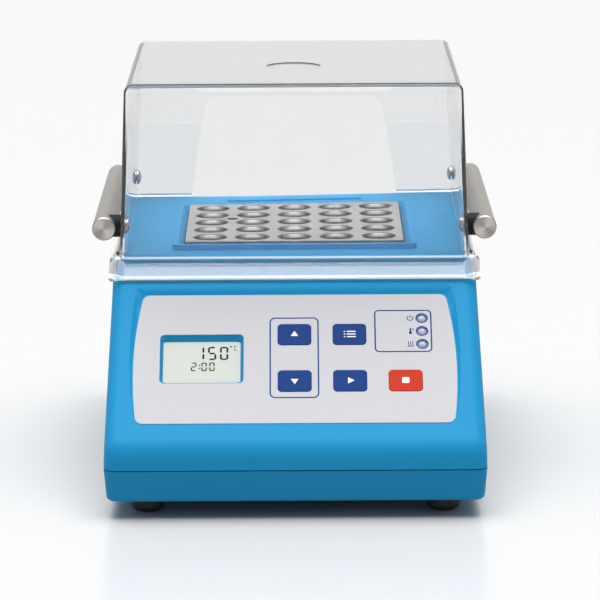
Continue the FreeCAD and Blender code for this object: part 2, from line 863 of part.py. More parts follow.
def panel_recess():
    """The recess round the label: a floor on the label plane and sides that slope out."""
    low_body, low = label_outline("recess_low", dim.recess_margin, zero)
    high_body, high = label_outline("recess_high", dim.recess_margin + dim.recess_side_run,
                                    dim.recess_loft_height)
    loft = doc.addObject("Part::Loft", "recess_loft")
    loft.Sections = [low, high]
    loft.Solid = True
    loft.Ruled = True

    def climbs(edge):
        ends = [vertex.Point.z for vertex in edge.Vertexes]
        return len(ends) == 2 and not near(ends[0], ends[1])

    return round_edges("recess_rounded", loft, [(climbs, dim.recess_corner_radius)])


def panel_cuts():
    """What is cut into the panel: the recess, and the holes for the display, keys and lamps."""
    through = dim.panel_wall + dim.overrun
    foot = -dim.panel_wall - dim.overrun / 2
    tools = [panel_recess(), cuboid("window_throat", dim.sight_width, dim.sight_length, through,
                                    (window_across, window_up, foot))]
    low = new_sketch_rectangle("well_low", dim.sight_width, dim.sight_length,
                               dim.window_edge - dim.panel_wall)
    high = new_sketch_rectangle("well_high", dim.window_width, dim.window_length, zero)
    well = doc.addObject("Part::Loft", "well_loft")
    well.Sections = [low, high]
    well.Solid = True
    well.Ruled = True
    tools.append(well)
    for name, (x, y) in KEYS.items():
        tools.append(plate(name + "_hole", dim.key_width + dim.key_side_gap * 2,
                           dim.key_length + dim.key_side_gap * 2, through,
                           dim.key_radius + dim.key_side_gap, (x, y, foot)))
    for index, (x, y) in enumerate(LAMPS):
        tools.append(rod("lamp_hole_%d" % index, dim.lamp_radius + dim.fit_clearance, through, (x, y, foot)))
    for index, (x, y) in enumerate(board_bosses):
        tools.append(rod("board_pilot_%d" % index, dim.board_screw_radius + dim.fit_clearance / 2,
                         dim.board_screw_length, (x, y, board_front - dim.fit_clearance)))
    return lay_on_panel(fuse("panel_cuts", tools))


def new_sketch_rectangle(name, width, length, lift):
    body = new_body(name)
    sketch = new_sketch(body, name + "_outline", "XY_Plane", (window_across, window_up, lift))
    draw_rounded(sketch, width, length, dim.window_radius)
    return sketch


def make_base_tray():
    top = dim.seam_height - dim.seam_gap
    deep = top - dim.tray_bottom
    outer = plate("tray_outer", dim.case_width, dim.case_depth, deep, dim.case_edge_radius,
                  (zero, zero, top), taper=-dim.tray_draft_angle, downwards=True)
    doc.recompute()
    rim = outer.newObject("PartDesign::Fillet", "tray_round")
    tip = outer.Shape
    names = ["Edge%d" % index for index, edge in enumerate(tip.Edges, start=1)
             if all(near(vertex.Point.z, dim.tray_bottom) for vertex in edge.Vertexes)]
    rim.Base = (outer.getObject("tray_outer_pad"), names)
    bind(rim, "Radius", dim.tray_edge_radius)
    inner = plate("tray_inner", dim.case_width - dim.case_wall * 2, dim.case_depth - dim.case_wall * 2,
                  deep - dim.case_wall, dim.case_edge_radius - dim.case_wall,
                  (zero, zero, top), taper=-dim.tray_draft_angle, downwards=True)
    tongue_width = dim.case_width - dim.case_wall * 2 - dim.tongue_clearance * 2
    tongue_depth = dim.case_depth - dim.case_wall * 2 - dim.tongue_clearance * 2
    tongue_foot = top - dim.case_wall * 2
    tongue_height = dim.case_wall * 2 + dim.seam_gap + dim.tongue_rise
    tongue_radius = dim.case_edge_radius - dim.case_wall
    tongue_blank = plate("tongue_outer", tongue_width, tongue_depth, tongue_height, tongue_radius,
                         (zero, zero, tongue_foot))
    ledge = plate("tongue_ledge", dim.case_width - dim.case_wall, dim.case_depth - dim.case_wall,
                  dim.case_wall * 2, dim.case_edge_radius - dim.case_wall / 2, (zero, zero, tongue_foot))
    tongue = cut("tray_tongue", fuse("tongue_solid", [tongue_blank, ledge]),
                 [plate("tongue_inner", tongue_width - dim.tongue_wall * 2,
                        tongue_depth - dim.tongue_wall * 2, tongue_height + dim.overrun,
                        tongue_radius - dim.tongue_wall, (zero, zero, tongue_foot - dim.overrun / 2))])
    parts = [cut("tray_shell", outer, [inner]), tongue]
    away = []
    for index, (x, y) in enumerate(case_screws):
        parts.append(rod("tray_boss_%d" % index, dim.case_boss_radius, top - dim.tray_bottom,
                         (x, y, dim.tray_bottom)))
        away.append(rod("tray_sink_%d" % index, dim.case_screw_head_radius + dim.fit_clearance * 2,
                        dim.case_screw_sink, (x, y, dim.tray_bottom)))
        away.append(rod("tray_screw_hole_%d" % index, dim.case_screw_radius + dim.fit_clearance,
                        dim.seam_height, (x, y, dim.tray_bottom)))
    for index, (x, y) in enumerate(feet):
        away.append(rod("foot_hole_%d" % index, dim.foot_neck_radius + dim.fit_clearance,
                        dim.case_wall * 2, (x, y, dim.tray_bottom - dim.case_wall / 2)))
    for row in (-1, 1):
        for step in range(VENT_SLOTS):
            along = dim.vent_pitch * (step - (VENT_SLOTS - 1) / 2)
            away.append(cuboid("vent_%d_%d" % (row + 1, step), dim.vent_length, dim.vent_width,
                               dim.case_wall * 2, (dim.vent_length * row, block_middle + along,
                                                   dim.tray_bottom - dim.case_wall / 2)))
    keep(cut("base_tray", fuse("tray_solid", parts), away), "base_tray")


def make_feet():
    corners = [
        (zero, zero),
        (dim.foot_pad_radius, zero),
        (dim.foot_radius, dim.foot_shoulder),
        (dim.foot_radius, dim.tray_bottom),
        (dim.foot_neck_radius, dim.tray_bottom),
        (dim.foot_neck_radius, tray_floor),
        (dim.foot_barb_radius, tray_floor),
        (dim.foot_neck_radius, tray_floor + dim.foot_barb_height),
        (zero, tray_floor + dim.foot_barb_height),
    ]
    bows = {1: dim.foot_shoulder / 4}
    rubber = [turned("foot_%d" % index, corners, (x, y, zero), bows=bows)
              for index, (x, y) in enumerate(feet)]
    keep(group("rubber_feet", rubber), "rubber_feet")


def screw(name, shank_radius, shank, head_radius, head, at, axis=Z_AXIS, angle=0):
    """A screw that points along its Z, with its head's seat at its place."""
    edge = head / 3
    corners = [(zero, -head), (head_radius, -edge), (head_radius, zero), (shank_radius, zero),
               (shank_radius, shank), (zero, shank)]
    return turned(name, corners, at, axis, angle, bows={0: dome_bow(head_radius, head - edge)})


def make_case_screws():
    seat = dim.tray_bottom + dim.case_screw_sink
    screws = [screw("case_screw_%d" % index, dim.case_screw_radius, dim.case_screw_length,
                    dim.case_screw_head_radius, dim.case_screw_head_height, (x, y, seat))
              for index, (x, y) in enumerate(case_screws)]
    keep(group("case_screws", screws), "case_screws")


def make_panel_overlay():
    body, sketch = label_outline("overlay_sheet", zero, zero)
    pad(body, sketch, dim.label_thickness)
    doc.recompute()
    corner = body.newObject("PartDesign::Fillet", "overlay_corners")
    names = ["Edge%d" % index for index, edge in enumerate(body.Shape.Edges, start=1)
             if runs_along(edge, Z_AXIS)]
    corner.Base = (body.getObject("overlay_sheet_pad"), names)
    bind(corner, "Radius", dim.label_corner_radius)
    foot = -dim.overrun / 2
    tools = [plate("overlay_window", dim.window_width, dim.window_length, dim.overrun, dim.window_radius,
                   (window_across, window_up, foot))]
    for name, (x, y) in KEYS.items():
        tools.append(plate(name + "_frame", dim.key_width + dim.key_side_gap * 2,
                           dim.key_length + dim.key_side_gap * 2, dim.overrun,
                           dim.key_radius + dim.key_side_gap, (x, y, foot)))
    for index, (x, y) in enumerate(LAMPS):
        tools.append(rod("overlay_lamp_%d" % index, dim.lamp_radius + dim.fit_clearance, dim.overrun,
                         (x, y, foot)))
    keep(lay_on_panel(cut("panel_overlay", body, tools)), "panel_overlay")


def make_keys():
    cap_foot = -dim.panel_wall - dim.fit_clearance
    cap_top = dim.label_thickness + dim.key_rise
    stem_foot = board_front + dim.switch_height + dim.plunger_height + dim.key_travel + dim.fit_clearance
    for name, (x, y) in KEYS.items():
        cap = plate(name + "_cap", dim.key_width, dim.key_length, cap_top - cap_foot, dim.key_radius,
                    (x, y, cap_foot))
        flange = plate(name + "_flange", dim.key_width + dim.key_flange * 2,
                       dim.key_length + dim.key_flange * 2, dim.key_flange_thickness, dim.key_radius,
                       (x, y, cap_foot), downwards=True)
        stem = rod(name + "_stem", dim.key_stem_radius, cap_foot - stem_foot, (x, y, stem_foot))
        keep(lay_on_panel(fuse(name, [cap, flange, stem])), name)


def make_display():
    glass_top = -dim.panel_wall - dim.fit_clearance
    glass = cuboid("lcd_sheet", dim.lcd_width, dim.lcd_length, dim.lcd_thickness,
                   (zero, zero, glass_top - dim.lcd_thickness))
    glass_laid = fuse("lcd_glass_laid", [glass, lcd_tab(glass_top)])
    put_on_panel_at(glass_laid, window_across, window_up)
    keep(glass_laid, "lcd_glass")
    seat = dim.lcd_clearance
    outer_width = dim.lcd_width + seat * 2 + dim.lcd_frame_wall * 2
    outer_length = dim.lcd_length + seat * 2 + dim.lcd_frame_wall * 2
    frame = cuboid("lcd_frame_outer", outer_width, outer_length, glass_top - board_front,
                   (zero, zero, board_front))
    pocket = cuboid("lcd_frame_pocket", dim.lcd_width + seat * 2, dim.lcd_length + seat * 2,
                    dim.lcd_thickness + dim.overrun, (zero, zero, glass_top - dim.lcd_thickness))
    well = cuboid("lcd_frame_well", dim.lcd_width - dim.lcd_ledge * 2, dim.lcd_length - dim.lcd_ledge * 2,
                  dim.display_board_gap + dim.overrun, (zero, zero, board_front - dim.overrun / 2))
    ring = cut("lcd_frame", frame, [pocket, well])
    put_on_panel_at(ring, window_across, window_up)
    keep(ring, "lcd_frame")


def lcd_tab(glass_top):
    """The lower glass sheet stands out past the upper one along one edge."""
    return cuboid("lcd_tab", dim.lcd_width, dim.lcd_length + dim.lcd_clearance, dim.lcd_thickness / 2,
                  (zero, dim.lcd_clearance / 2, glass_top - dim.lcd_thickness))


def put_on_panel_at(thing, across, up):
    """Lay a thing on the label plane with its own origin at a place on that plane."""
    return put(thing, (across, label_y + up * cosine(dim.label_angle),
                       label_z + up * sine(dim.label_angle)), X_AXIS, dim.label_angle)


def make_lamps():
    tip = dim.lamp_rise + dim.label_thickness - board_front
    corners = [
        (zero, zero),
        (dim.lamp_flange_radius, zero),
        (dim.lamp_flange_radius, dim.lamp_flange_height),
        (dim.lamp_radius, dim.lamp_flange_height),
        (dim.lamp_radius, tip - dim.lamp_dome),
        (zero, tip),
    ]
    bows = {4: dome_bow(dim.lamp_radius, dim.lamp_dome)}
    lamps = [turned("lamp_%d" % index, corners, (x, y, board_front), bows=bows)
             for index, (x, y) in enumerate(LAMPS)]
    keep(lay_on_panel(group("status_lamps", lamps)), "status_lamps")


def make_display_board():
    length = display_board_top - dim.display_board_foot
    middle = (display_board_top + dim.display_board_foot) / 2
    board = cuboid("display_board_sheet", display_board_width, length, dim.board_thickness,
                   (zero, middle, board_back))
    holes = [rod("display_board_hole_%d" % index, dim.board_screw_radius + dim.fit_clearance * 2,
                 dim.board_thickness + dim.overrun, (x, y, board_back - dim.overrun / 2))
             for index, (x, y) in enumerate(board_bosses)]
    keep(lay_on_panel(cut("display_board", board, holes)), "display_board")
    screws = [screw("board_screw_%d" % index, dim.board_screw_radius, dim.board_screw_length,
                    dim.board_screw_head_radius, dim.board_screw_head_height, (x, y, board_back))
              for index, (x, y) in enumerate(board_bosses)]
    keep(lay_on_panel(group("board_screws", screws)), "board_screws")
    switches = []
    for name, (x, y) in KEYS.items():
        body = cuboid(name + "_switch_body", dim.switch_body, dim.switch_body, dim.switch_height,
                      (x, y, board_front))
        plunger = rod(name + "_plunger", dim.plunger_radius, dim.plunger_height + dim.switch_height / 2,
                      (x, y, board_front + dim.switch_height / 2))
        switches.append(fuse(name + "_switch", [body, plunger]))
    keep(lay_on_panel(group("tact_switches", switches)), "tact_switches")


def make_heater_block():
    body = plate("block_body", dim.block_size, dim.block_size, dim.block_height,
                 dim.block_corner_radius, (zero, block_middle, block_top), downwards=True)
    sketch = new_sketch(body, "well_circles", "XY_Plane", (zero, block_middle, block_top))
    index = 0
    for column in range(GRID):
        for row in range(GRID):
            x = dim.well_pitch * (column - (GRID - 1) / 2)
            y = dim.well_pitch * (row - (GRID - 1) / 2)
            add_circle(sketch, index, x, y, dim.well_radius)
            index += 1
    pocket(body, sketch, "wells", dim.well_depth)
    bore = new_sketch(body, "thermometer_circle", "XY_Plane", (zero, block_middle, block_top))
    add_circle(bore, 0, dim.well_pitch * -1.5, dim.well_pitch * 0.5, dim.thermometer_radius)
    pocket(body, bore, "thermometer_well", dim.thermometer_depth)
    doc.recompute()
    mouths = ["Edge%d" % number for number, edge in enumerate(body.Shape.Edges, start=1)
              if edge.Closed and near(edge.CenterOfMass.z, block_top)
              and near(edge.Curve.Radius, dim.well_radius)]
    chamfer = body.newObject("PartDesign::Chamfer", "well_mouths")
    chamfer.Base = (body.getObject("thermometer_well"), mouths)
    bind(chamfer, "Size", dim.well_chamfer)
    away = [rod("clamp_pilot_%d" % number, dim.clamp_screw_radius + dim.fit_clearance / 2,
                dim.clamp_screw_grip + dim.fit_clearance * 10, (x, y, block_bottom))
            for number, (x, y) in enumerate(clamp_screws)]
    away.append(rod("probe_bore", dim.probe_radius + dim.fit_clearance,
                    dim.probe_depth + dim.fit_clearance * 2,
                    (dim.probe_across, block_middle - dim.block_size / 2,
                     block_bottom + dim.probe_height), X_AXIS, -RIGHT))
    keep(cut("heater_block", body, away), "heater_block")


def add_circle(sketch, index, x, y, radius):
    x = as_size(x)
    y = as_size(y)
    sketch.addGeometry(Part.Circle(Vector(x.number, y.number, 0), Z_AXIS, float(radius)))
    held = sketch.addConstraint(Sketcher.Constraint("Radius", index, float(radius)))
    sketch.setExpression("Constraints[%d]" % held, radius.formula)
    for kind, size, axis in (("DistanceX", x, -2), ("DistanceY", y, -1)):
        if size.number == 0:
            sketch.addConstraint(Sketcher.Constraint("PointOnObject", index, 3, axis))
            continue
        held = sketch.addConstraint(Sketcher.Constraint(kind, -1, 1, index, 3, size.number))
        sketch.setExpression("Constraints[%d]" % held, size.formula)


def pocket(body, sketch, name, depth):
    feature = body.newObject("PartDesign::Pocket", name)
    feature.Profile = sketch
    feature.Type = "Length"
    bind(feature, "Length", depth)
    sketch.Visibility = False
    return feature


def make_heater():
    middle = block_middle
    mat = plate("heater_mat_sheet", mat_size, mat_size, dim.heater_mat_thickness,
                dim.block_corner_radius, (zero, middle, mat_bottom))
    holes = [rod("mat_hole_%d" % index, dim.clamp_screw_radius + dim.fit_clearance * 2,
                 dim.heater_mat_thickness + dim.overrun, (x, y, mat_bottom - dim.overrun / 2))
             for index, (x, y) in enumerate(clamp_screws)]
    keep(cut("heater_mat", mat, holes), "heater_mat")
    clamp = plate("clamp_plate_sheet", mat_size, mat_size,
                  dim.clamp_plate_thickness, dim.block_corner_radius, (zero, middle, clamp_bottom))
    holes = [rod("clamp_hole_%d" % index, dim.clamp_screw_radius + dim.fit_clearance * 2,
                 dim.clamp_plate_thickness + dim.overrun, (x, y, clamp_bottom - dim.overrun / 2))
             for index, (x, y) in enumerate(clamp_screws)]
    keep(cut("clamp_plate", clamp, holes), "clamp_plate")
    length = dim.clamp_plate_thickness + dim.heater_mat_thickness + dim.clamp_screw_grip
    screws = [screw("clamp_screw_%d" % index, dim.clamp_screw_radius, length, dim.screw_head_radius,
                    dim.screw_head_height, (x, y, clamp_bottom))
              for index, (x, y) in enumerate(clamp_screws)]
    keep(group("clamp_screws", screws), "clamp_screws")
    probe = rod("probe_stem", dim.probe_radius, dim.probe_depth + dim.probe_tail,
                (dim.probe_across, middle - dim.block_size / 2 - dim.probe_tail,
                 block_bottom + dim.probe_height), X_AXIS, -RIGHT)
    collar = rod("probe_collar", dim.probe_radius * 1.5, dim.probe_tail - dim.insulation_wall
                 - dim.fit_clearance * 10,
                 (dim.probe_across, middle - dim.block_size / 2 - dim.probe_tail,
                  block_bottom + dim.probe_height), X_AXIS, -RIGHT)
    keep(fuse("temperature_probe", [probe, collar]), "temperature_probe")
    corners = [
        (zero, -dim.thermostat_height),
        (dim.thermostat_body_radius, -dim.thermostat_height),
        (dim.thermostat_body_radius, -dim.thermostat_flange),
        (dim.thermostat_radius, -dim.thermostat_flange),
        (dim.thermostat_radius, zero),
        (zero, zero),
    ]
    can = turned("thermostat_can", corners, (zero, middle, clamp_bottom))
    blades = [cuboid("thermostat_blade_%d" % (side + 1), dim.thermostat_blade_sheet,
                     dim.thermostat_blade_width, dim.thermostat_blade_length + dim.thermostat_flange,
                     (dim.thermostat_blade_spread / 2 * side, middle,
                      clamp_bottom - dim.thermostat_height - dim.thermostat_blade_length))
              for side in (-1, 1)]
    keep(fuse("safety_thermostat", [can] + blades), "safety_thermostat")


def make_insulation():
    middle = block_middle
    gap = dim.fit_clearance * 3
    outer = dim.block_size + gap * 2 + dim.insulation_wall * 2
    height = dim.deck_height - dim.insulation_drop - clamp_bottom
    ring = cuboid("jacket_outer", outer, outer, height, (zero, middle, clamp_bottom))
    bore = plate("jacket_bore", dim.block_size + gap * 2, dim.block_size + gap * 2,
                 height + dim.overrun, dim.block_corner_radius,
                 (zero, middle, clamp_bottom - dim.overrun / 2))
    probe_hole = rod("jacket_probe_hole", dim.probe_radius + dim.fit_clearance * 2,
                     dim.insulation_wall * 2, (dim.probe_across, middle - dim.block_size / 2
                                               - dim.insulation_wall * 1.5,
                                               block_bottom + dim.probe_height), X_AXIS, -RIGHT)
    keep(cut("insulation_jacket", ring, [bore, probe_hole]), "insulation_jacket")
    slab = cuboid("pad_slab", outer, outer, dim.standoff_height, (zero, middle, carrier_top))
    foot = carrier_top - dim.overrun / 2
    through = dim.standoff_height + dim.overrun
    holes = [rod("pad_standoff_hole_%d" % index, dim.standoff_radius + gap, through, (x, y, foot))
             for index, (x, y) in enumerate(standoffs)]
    holes += [rod("pad_clamp_hole_%d" % index, dim.screw_head_radius + gap, through, (x, y, foot))
              for index, (x, y) in enumerate(clamp_screws)]
    holes += [rod("pad_post_hole_%d" % index, dim.screw_head_radius + gap, through, (x, y, foot))
              for index, (x, y) in enumerate(posts)]
    holes.append(rod("pad_thermostat_hole", dim.thermostat_radius + gap, through, (zero, middle, foot)))
    keep(cut("insulation_pad", slab, holes), "insulation_pad")


def make_carrier():
    middle = block_middle
    pillars = [rod("standoff_%d" % index, dim.standoff_radius, dim.standoff_height, (x, y, carrier_top))
               for index, (x, y) in enumerate(standoffs)]
    keep(group("block_standoffs", pillars), "block_standoffs")
    sheet_box = cuboid("carrier_outer", carrier_size, carrier_size,
                       dim.carrier_sheet + dim.carrier_flange,
                       (zero, middle, carrier_bottom - dim.carrier_flange))
    under = cuboid("carrier_under", carrier_size - dim.carrier_sheet * 2,
                   carrier_size + dim.overrun, dim.carrier_flange + dim.overrun,
                   (zero, middle, carrier_bottom - dim.carrier_flange - dim.overrun))
    holes = [rod("carrier_hole_%d" % index, dim.post_screw_radius + dim.fit_clearance * 2,
                 dim.carrier_sheet + dim.overrun, (x, y, carrier_bottom - dim.overrun / 2))
             for index, (x, y) in enumerate(posts)]
    keep(cut("carrier_plate", sheet_box, [under] + holes), "carrier_plate")
    pillars = []
    for index, (x, y) in enumerate(posts):
        pillar = rod("post_%d" % index, dim.post_radius, carrier_bottom - tray_floor, (x, y, tray_floor))
        hole = rod("post_hole_%d" % index, dim.post_screw_radius + dim.fit_clearance / 2,
                   dim.post_screw_length + dim.overrun,
                   (x, y, carrier_bottom - dim.post_screw_length - dim.fit_clearance * 5))
        pillars.append(cut("carrier_post_%d" % index, pillar, [hole]))
    keep(group("carrier_posts", pillars), "carrier_posts")
    screws = [screw("carrier_screw_%d" % index, dim.post_screw_radius,
                    dim.post_screw_length + dim.carrier_sheet, dim.screw_head_radius,
                    dim.screw_head_height, (x, y, carrier_top), X_AXIS, 2 * RIGHT)
              for index, (x, y) in enumerate(posts)]
    keep(group("carrier_screws", screws), "carrier_screws")


def make_main_board():
    bottom = tray_floor + dim.spacer_height
    top = bottom + dim.board_thickness
    centre = main_board_middle
    places = list(four(dim.main_board_width - dim.spacer_inset * 2,
                       dim.main_board_depth - dim.spacer_inset * 2, centre))
    sheet_box = cuboid("main_board_sheet", dim.main_board_width, dim.main_board_depth,
                       dim.board_thickness, (zero, centre, bottom))
    holes = [rod("main_board_hole_%d" % index, dim.spacer_pin_radius + dim.fit_clearance,
                 dim.board_thickness + dim.overrun, (x, y, bottom - dim.overrun / 2))
             for index, (x, y) in enumerate(places)]
    keep(cut("main_board", sheet_box, holes), "main_board")
    cap = dim.spacer_height + dim.board_thickness
    corners = [
        (zero, zero),
        (dim.spacer_radius, zero),
        (dim.spacer_radius, dim.spacer_height),
        (dim.spacer_pin_radius, dim.spacer_height),
        (dim.spacer_pin_radius, cap),
        (dim.spacer_radius * 0.8, cap),
        (dim.spacer_pin_radius, cap + dim.spacer_cap_height),
        (zero, cap + dim.spacer_cap_height),
    ]
    spacers = [turned("spacer_%d" % index, corners, (x, y, tray_floor))
               for index, (x, y) in enumerate(places)]
    keep(group("board_spacers", spacers), "board_spacers")
    back = centre + dim.transformer_back
    place = (dim.transformer_across, back, top)
    core = cuboid("transformer_core", dim.transformer_core_width, dim.transformer_core_depth,
                  dim.transformer_core_height, place)
    winding = plate("transformer_winding", dim.winding_width, dim.winding_depth, dim.winding_height,
                    dim.winding_lift / 2, (dim.transformer_across, back, top + dim.winding_lift))
    keep(fuse("power_transformer", [core, winding]), "power_transformer")
    make_heat_sink(top)
    relay = plate("relay_case", dim.relay_width, dim.relay_depth, dim.relay_height,
                  dim.relay_corner_radius, (dim.relay_across, centre + dim.relay_back, top))
    keep(relay, "relay")
    strip = cuboid("terminal_strip", dim.terminal_width, dim.terminal_depth, dim.terminal_height,
                   (dim.terminal_across, centre + dim.terminal_back, top))
    holes = []
    for step in range(TERMINAL_WAYS):
        along = dim.terminal_pitch * (step - (TERMINAL_WAYS - 1) / 2)
        x = dim.terminal_across + along
        holes.append(rod("terminal_entry_%d" % step, dim.terminal_hole_radius, dim.terminal_depth,
                         (x, centre + dim.terminal_back, top + dim.terminal_height / 3), X_AXIS, -RIGHT))
        holes.append(rod("terminal_screw_%d" % step, dim.terminal_hole_radius, dim.terminal_height,
                         (x, centre + dim.terminal_back, top + dim.terminal_height / 2)))
    keep(cut("terminal_block", strip, holes), "terminal_block")
    make_ribbon(top)


def make_heat_sink(top):
    x, y = dim.heat_sink_across, main_board_middle + dim.heat_sink_back
    base = cuboid("sink_base", dim.heat_sink_width, dim.heat_sink_base, dim.heat_sink_height,
                  (x, y - dim.heat_sink_depth / 2 + dim.heat_sink_base / 2, top))
    fins = []
    for step in range(SINK_FINS):
        share = step / (SINK_FINS - 1) - 0.5
        fins.append(cuboid("sink_fin_%d" % step, dim.heat_sink_fin, dim.heat_sink_depth,
                           dim.heat_sink_height, (x + (dim.heat_sink_width - dim.heat_sink_fin) * share,
                                                  y, top)))
    keep(fuse("heat_sink", [base] + fins), "heat_sink")
    face = y - dim.heat_sink_depth / 2
    triac = cuboid("triac_body", dim.triac_width, dim.triac_thickness, dim.triac_height * 0.6,
                   (x, face - dim.triac_thickness / 2, top + dim.triac_lift))
    tab = cuboid("triac_tab", dim.triac_width, dim.triac_thickness * 0.3, dim.triac_height,
                 (x, face - dim.triac_thickness * 0.15, top + dim.triac_lift))
    legs = [cuboid("triac_leg_%d" % (step + 1), dim.triac_thickness * 0.15, dim.triac_thickness * 0.15,
                   dim.triac_lift + dim.triac_height * 0.1,
                   (x + dim.triac_width * 0.25 * step, face - dim.triac_thickness * 0.6, top))
            for step in (-1, 0, 1)]
    keep(fuse("triac", [triac, tab] + legs), "triac")


def make_ribbon(top):
    """A flat cable between a header on each board, with one bend."""
    back = main_board_middle + dim.ribbon_back
    low = cuboid("header_low", dim.header_width, dim.header_depth, dim.header_height,
                 (zero, back, top))
    high = cuboid("header_high", dim.header_width, dim.header_depth, dim.header_height,
                  (zero, dim.ribbon_up, board_back - dim.header_height))
    lay_on_panel(high)
    put(high, (-dim.header_width / 2,
               label_y + (dim.ribbon_up - dim.header_depth / 2) * cosine(dim.label_angle)
               - (board_back - dim.header_height) * sine(dim.label_angle),
               label_z + (dim.ribbon_up - dim.header_depth / 2) * sine(dim.label_angle)
               + (board_back - dim.header_height) * cosine(dim.label_angle)),
        X_AXIS, dim.label_angle)
    keep(group("ribbon_headers", [low, high]), "ribbon_headers")
    slope = math.radians(float(dim.label_angle))
    out = board_back - dim.header_height
    start = Vector(0, float(label_y + dim.ribbon_up * cosine(dim.label_angle) - out * sine(dim.label_angle)),
                   float(label_z + dim.ribbon_up * sine(dim.label_angle) + out * cosine(dim.label_angle)))
    away = Vector(0, math.sin(slope), -math.cos(slope))
    run = (float(back) - start.y) / away.y
    corner = start + away * run
    end = Vector(0, float(back), float(top + dim.header_height))
    setback = float(dim.ribbon_bend_radius) * math.tan(slope / 2)
    enter = corner - away * setback
    leave = corner - Z_AXIS * setback
    middle_way = (away - Z_AXIS).normalize()
    centre = enter + Vector(0, -math.cos(slope), -math.sin(slope)) * float(dim.ribbon_bend_radius)
    crown = centre + Vector(0, math.cos(slope / 2), math.sin(slope / 2)) * float(dim.ribbon_bend_radius)
    path = Part.Wire([Part.LineSegment(start, enter).toShape(), Part.Arc(enter, crown, leave).toShape(),
                      Part.LineSegment(leave, end).toShape()])
    half_width = float(dim.ribbon_width) / 2
    half_sheet = float(dim.ribbon_thickness) / 2
    across = Vector(half_width, 0, 0)
    through = Vector(0, math.cos(slope), math.sin(slope)) * half_sheet
    section = Part.makePolygon([start - across - through, start + across - through,
                                start + across + through, start - across + through,
                                start - across - through])
    ribbon = doc.addObject("Part::Feature", "ribbon_cable")
    ribbon.Shape = path.makePipeShell([section], True, False)
    keep(ribbon, "ribbon_cable")


def make_inlet():
    x, y, z = dim.inlet_across, recess_floor, recess_middle
    flange = plate("inlet_flange", dim.inlet_flange_width, dim.inlet_flange_height,
                   dim.inlet_flange_thickness, dim.inlet_flange_radius)
    put(flange, (x, y, z), X_AXIS, -RIGHT)
    body = cuboid("inlet_body", dim.inlet_body_width, dim.inlet_body_depth + dim.inlet_flange_thickness / 2,
                  dim.inlet_body_height,
                  (x, y - dim.inlet_body_depth / 2 + dim.inlet_flange_thickness / 4,
                   z - dim.inlet_body_height / 2))
    face = y + dim.inlet_flange_thickness
    socket_z = z + dim.socket_up
    half_width = dim.socket_width / 2
    half_height = dim.socket_height / 2
    corners = [
        (x - half_width, socket_z - half_height),
        (x + half_width, socket_z - half_height),
        (x + half_width, socket_z + half_height - dim.socket_bevel),
        (x + half_width - dim.socket_bevel, socket_z + half_height),
        (x - half_width + dim.socket_bevel, socket_z + half_height),
        (x - half_width, socket_z + half_height - dim.socket_bevel),
    ]
    socket = profile("inlet_socket", corners, dim.socket_depth * 2, role="XZ_Plane",
                     at=(zero, zero, -face))
    slot = cuboid("drawer_slot", dim.drawer_width + dim.drawer_clearance * 2,
                  dim.drawer_depth + dim.drawer_clearance + dim.overrun,
                  dim.drawer_height + dim.drawer_clearance * 2,
                  (x, face + dim.overrun - (dim.drawer_depth + dim.drawer_clearance + dim.overrun) / 2,
                   z - dim.drawer_down - dim.drawer_height / 2 - dim.drawer_clearance))
    away = [socket, slot]
    pin_back = face - dim.socket_depth - dim.pin_root
    pins = []
    places = ((-1, -1), (0, 1), (1, -1))
    for index, (across, up) in enumerate(places):
        place = (x + dim.pin_spread / 2 * across, pin_back + (dim.pin_length + dim.pin_root) / 2,
                 socket_z + dim.pin_rise * up - dim.pin_height / 2)
        pins.append(cuboid("inlet_pin_%d" % index, dim.pin_width, dim.pin_length + dim.pin_root,
                           dim.pin_height, place))
        away.append(cuboid("inlet_pin_seat_%d" % index, dim.pin_width, dim.pin_length + dim.pin_root,
                           dim.pin_height, place))
    for side in (-1, 1):
        away.append(rod("inlet_flange_hole_%d" % (side + 1), dim.inlet_screw_radius + dim.fit_clearance / 2,
                        dim.inlet_flange_thickness + dim.overrun,
                        (x + dim.inlet_screw_spread / 2 * side, face + dim.overrun / 2, z), X_AXIS, RIGHT))
    keep(cut("power_inlet", fuse("inlet_solid", [flange, body]), away), "power_inlet")
    keep(group("inlet_pins", pins), "inlet_pins")
    screws = [screw("inlet_screw_%d" % (side + 1), dim.inlet_screw_radius, dim.inlet_screw_length,
                    dim.inlet_screw_head_radius, dim.inlet_screw_head_height,
                    (x + dim.inlet_screw_spread / 2 * side, face, z), X_AXIS, RIGHT)
              for side in (-1, 1)]
    keep(group("inlet_screws", screws), "inlet_screws")
    make_fuse_drawer(x, face, z - dim.drawer_down)


def make_fuse_drawer(x, face, z):
    depth = dim.drawer_depth + dim.drawer_rise
    back = face - dim.drawer_depth
    block = cuboid("drawer_block", dim.drawer_width, depth, dim.drawer_height,
                   (x, back + depth / 2, z - dim.drawer_height / 2))
    pocket_foot = z - dim.drawer_height / 2 + dim.drawer_floor
    hollow = cuboid("drawer_hollow", dim.drawer_pocket_width, dim.drawer_pocket_depth, dim.drawer_height,
                    (x, back + dim.drawer_pocket_back + dim.drawer_pocket_depth / 2, pocket_foot))
    grip = cuboid("drawer_grip", dim.drawer_width / 2, dim.drawer_rise, dim.drawer_height / 3,
                  (x, face + dim.drawer_rise, z - dim.drawer_height / 2))
    keep(cut("fuse_drawer", block, [hollow, grip]), "fuse_drawer")
    fuses = []
    for step in (0, 1):
        along = back + dim.drawer_pocket_back + dim.drawer_pocket_depth * (step + 0.5) / 2
        fuses.append(rod("fuse_%d" % step, dim.fuse_radius, dim.fuse_length,
                         (x - dim.fuse_length / 2, along, pocket_foot + dim.fuse_radius), Y_AXIS, RIGHT))
    keep(group("fuses", fuses), "fuses")


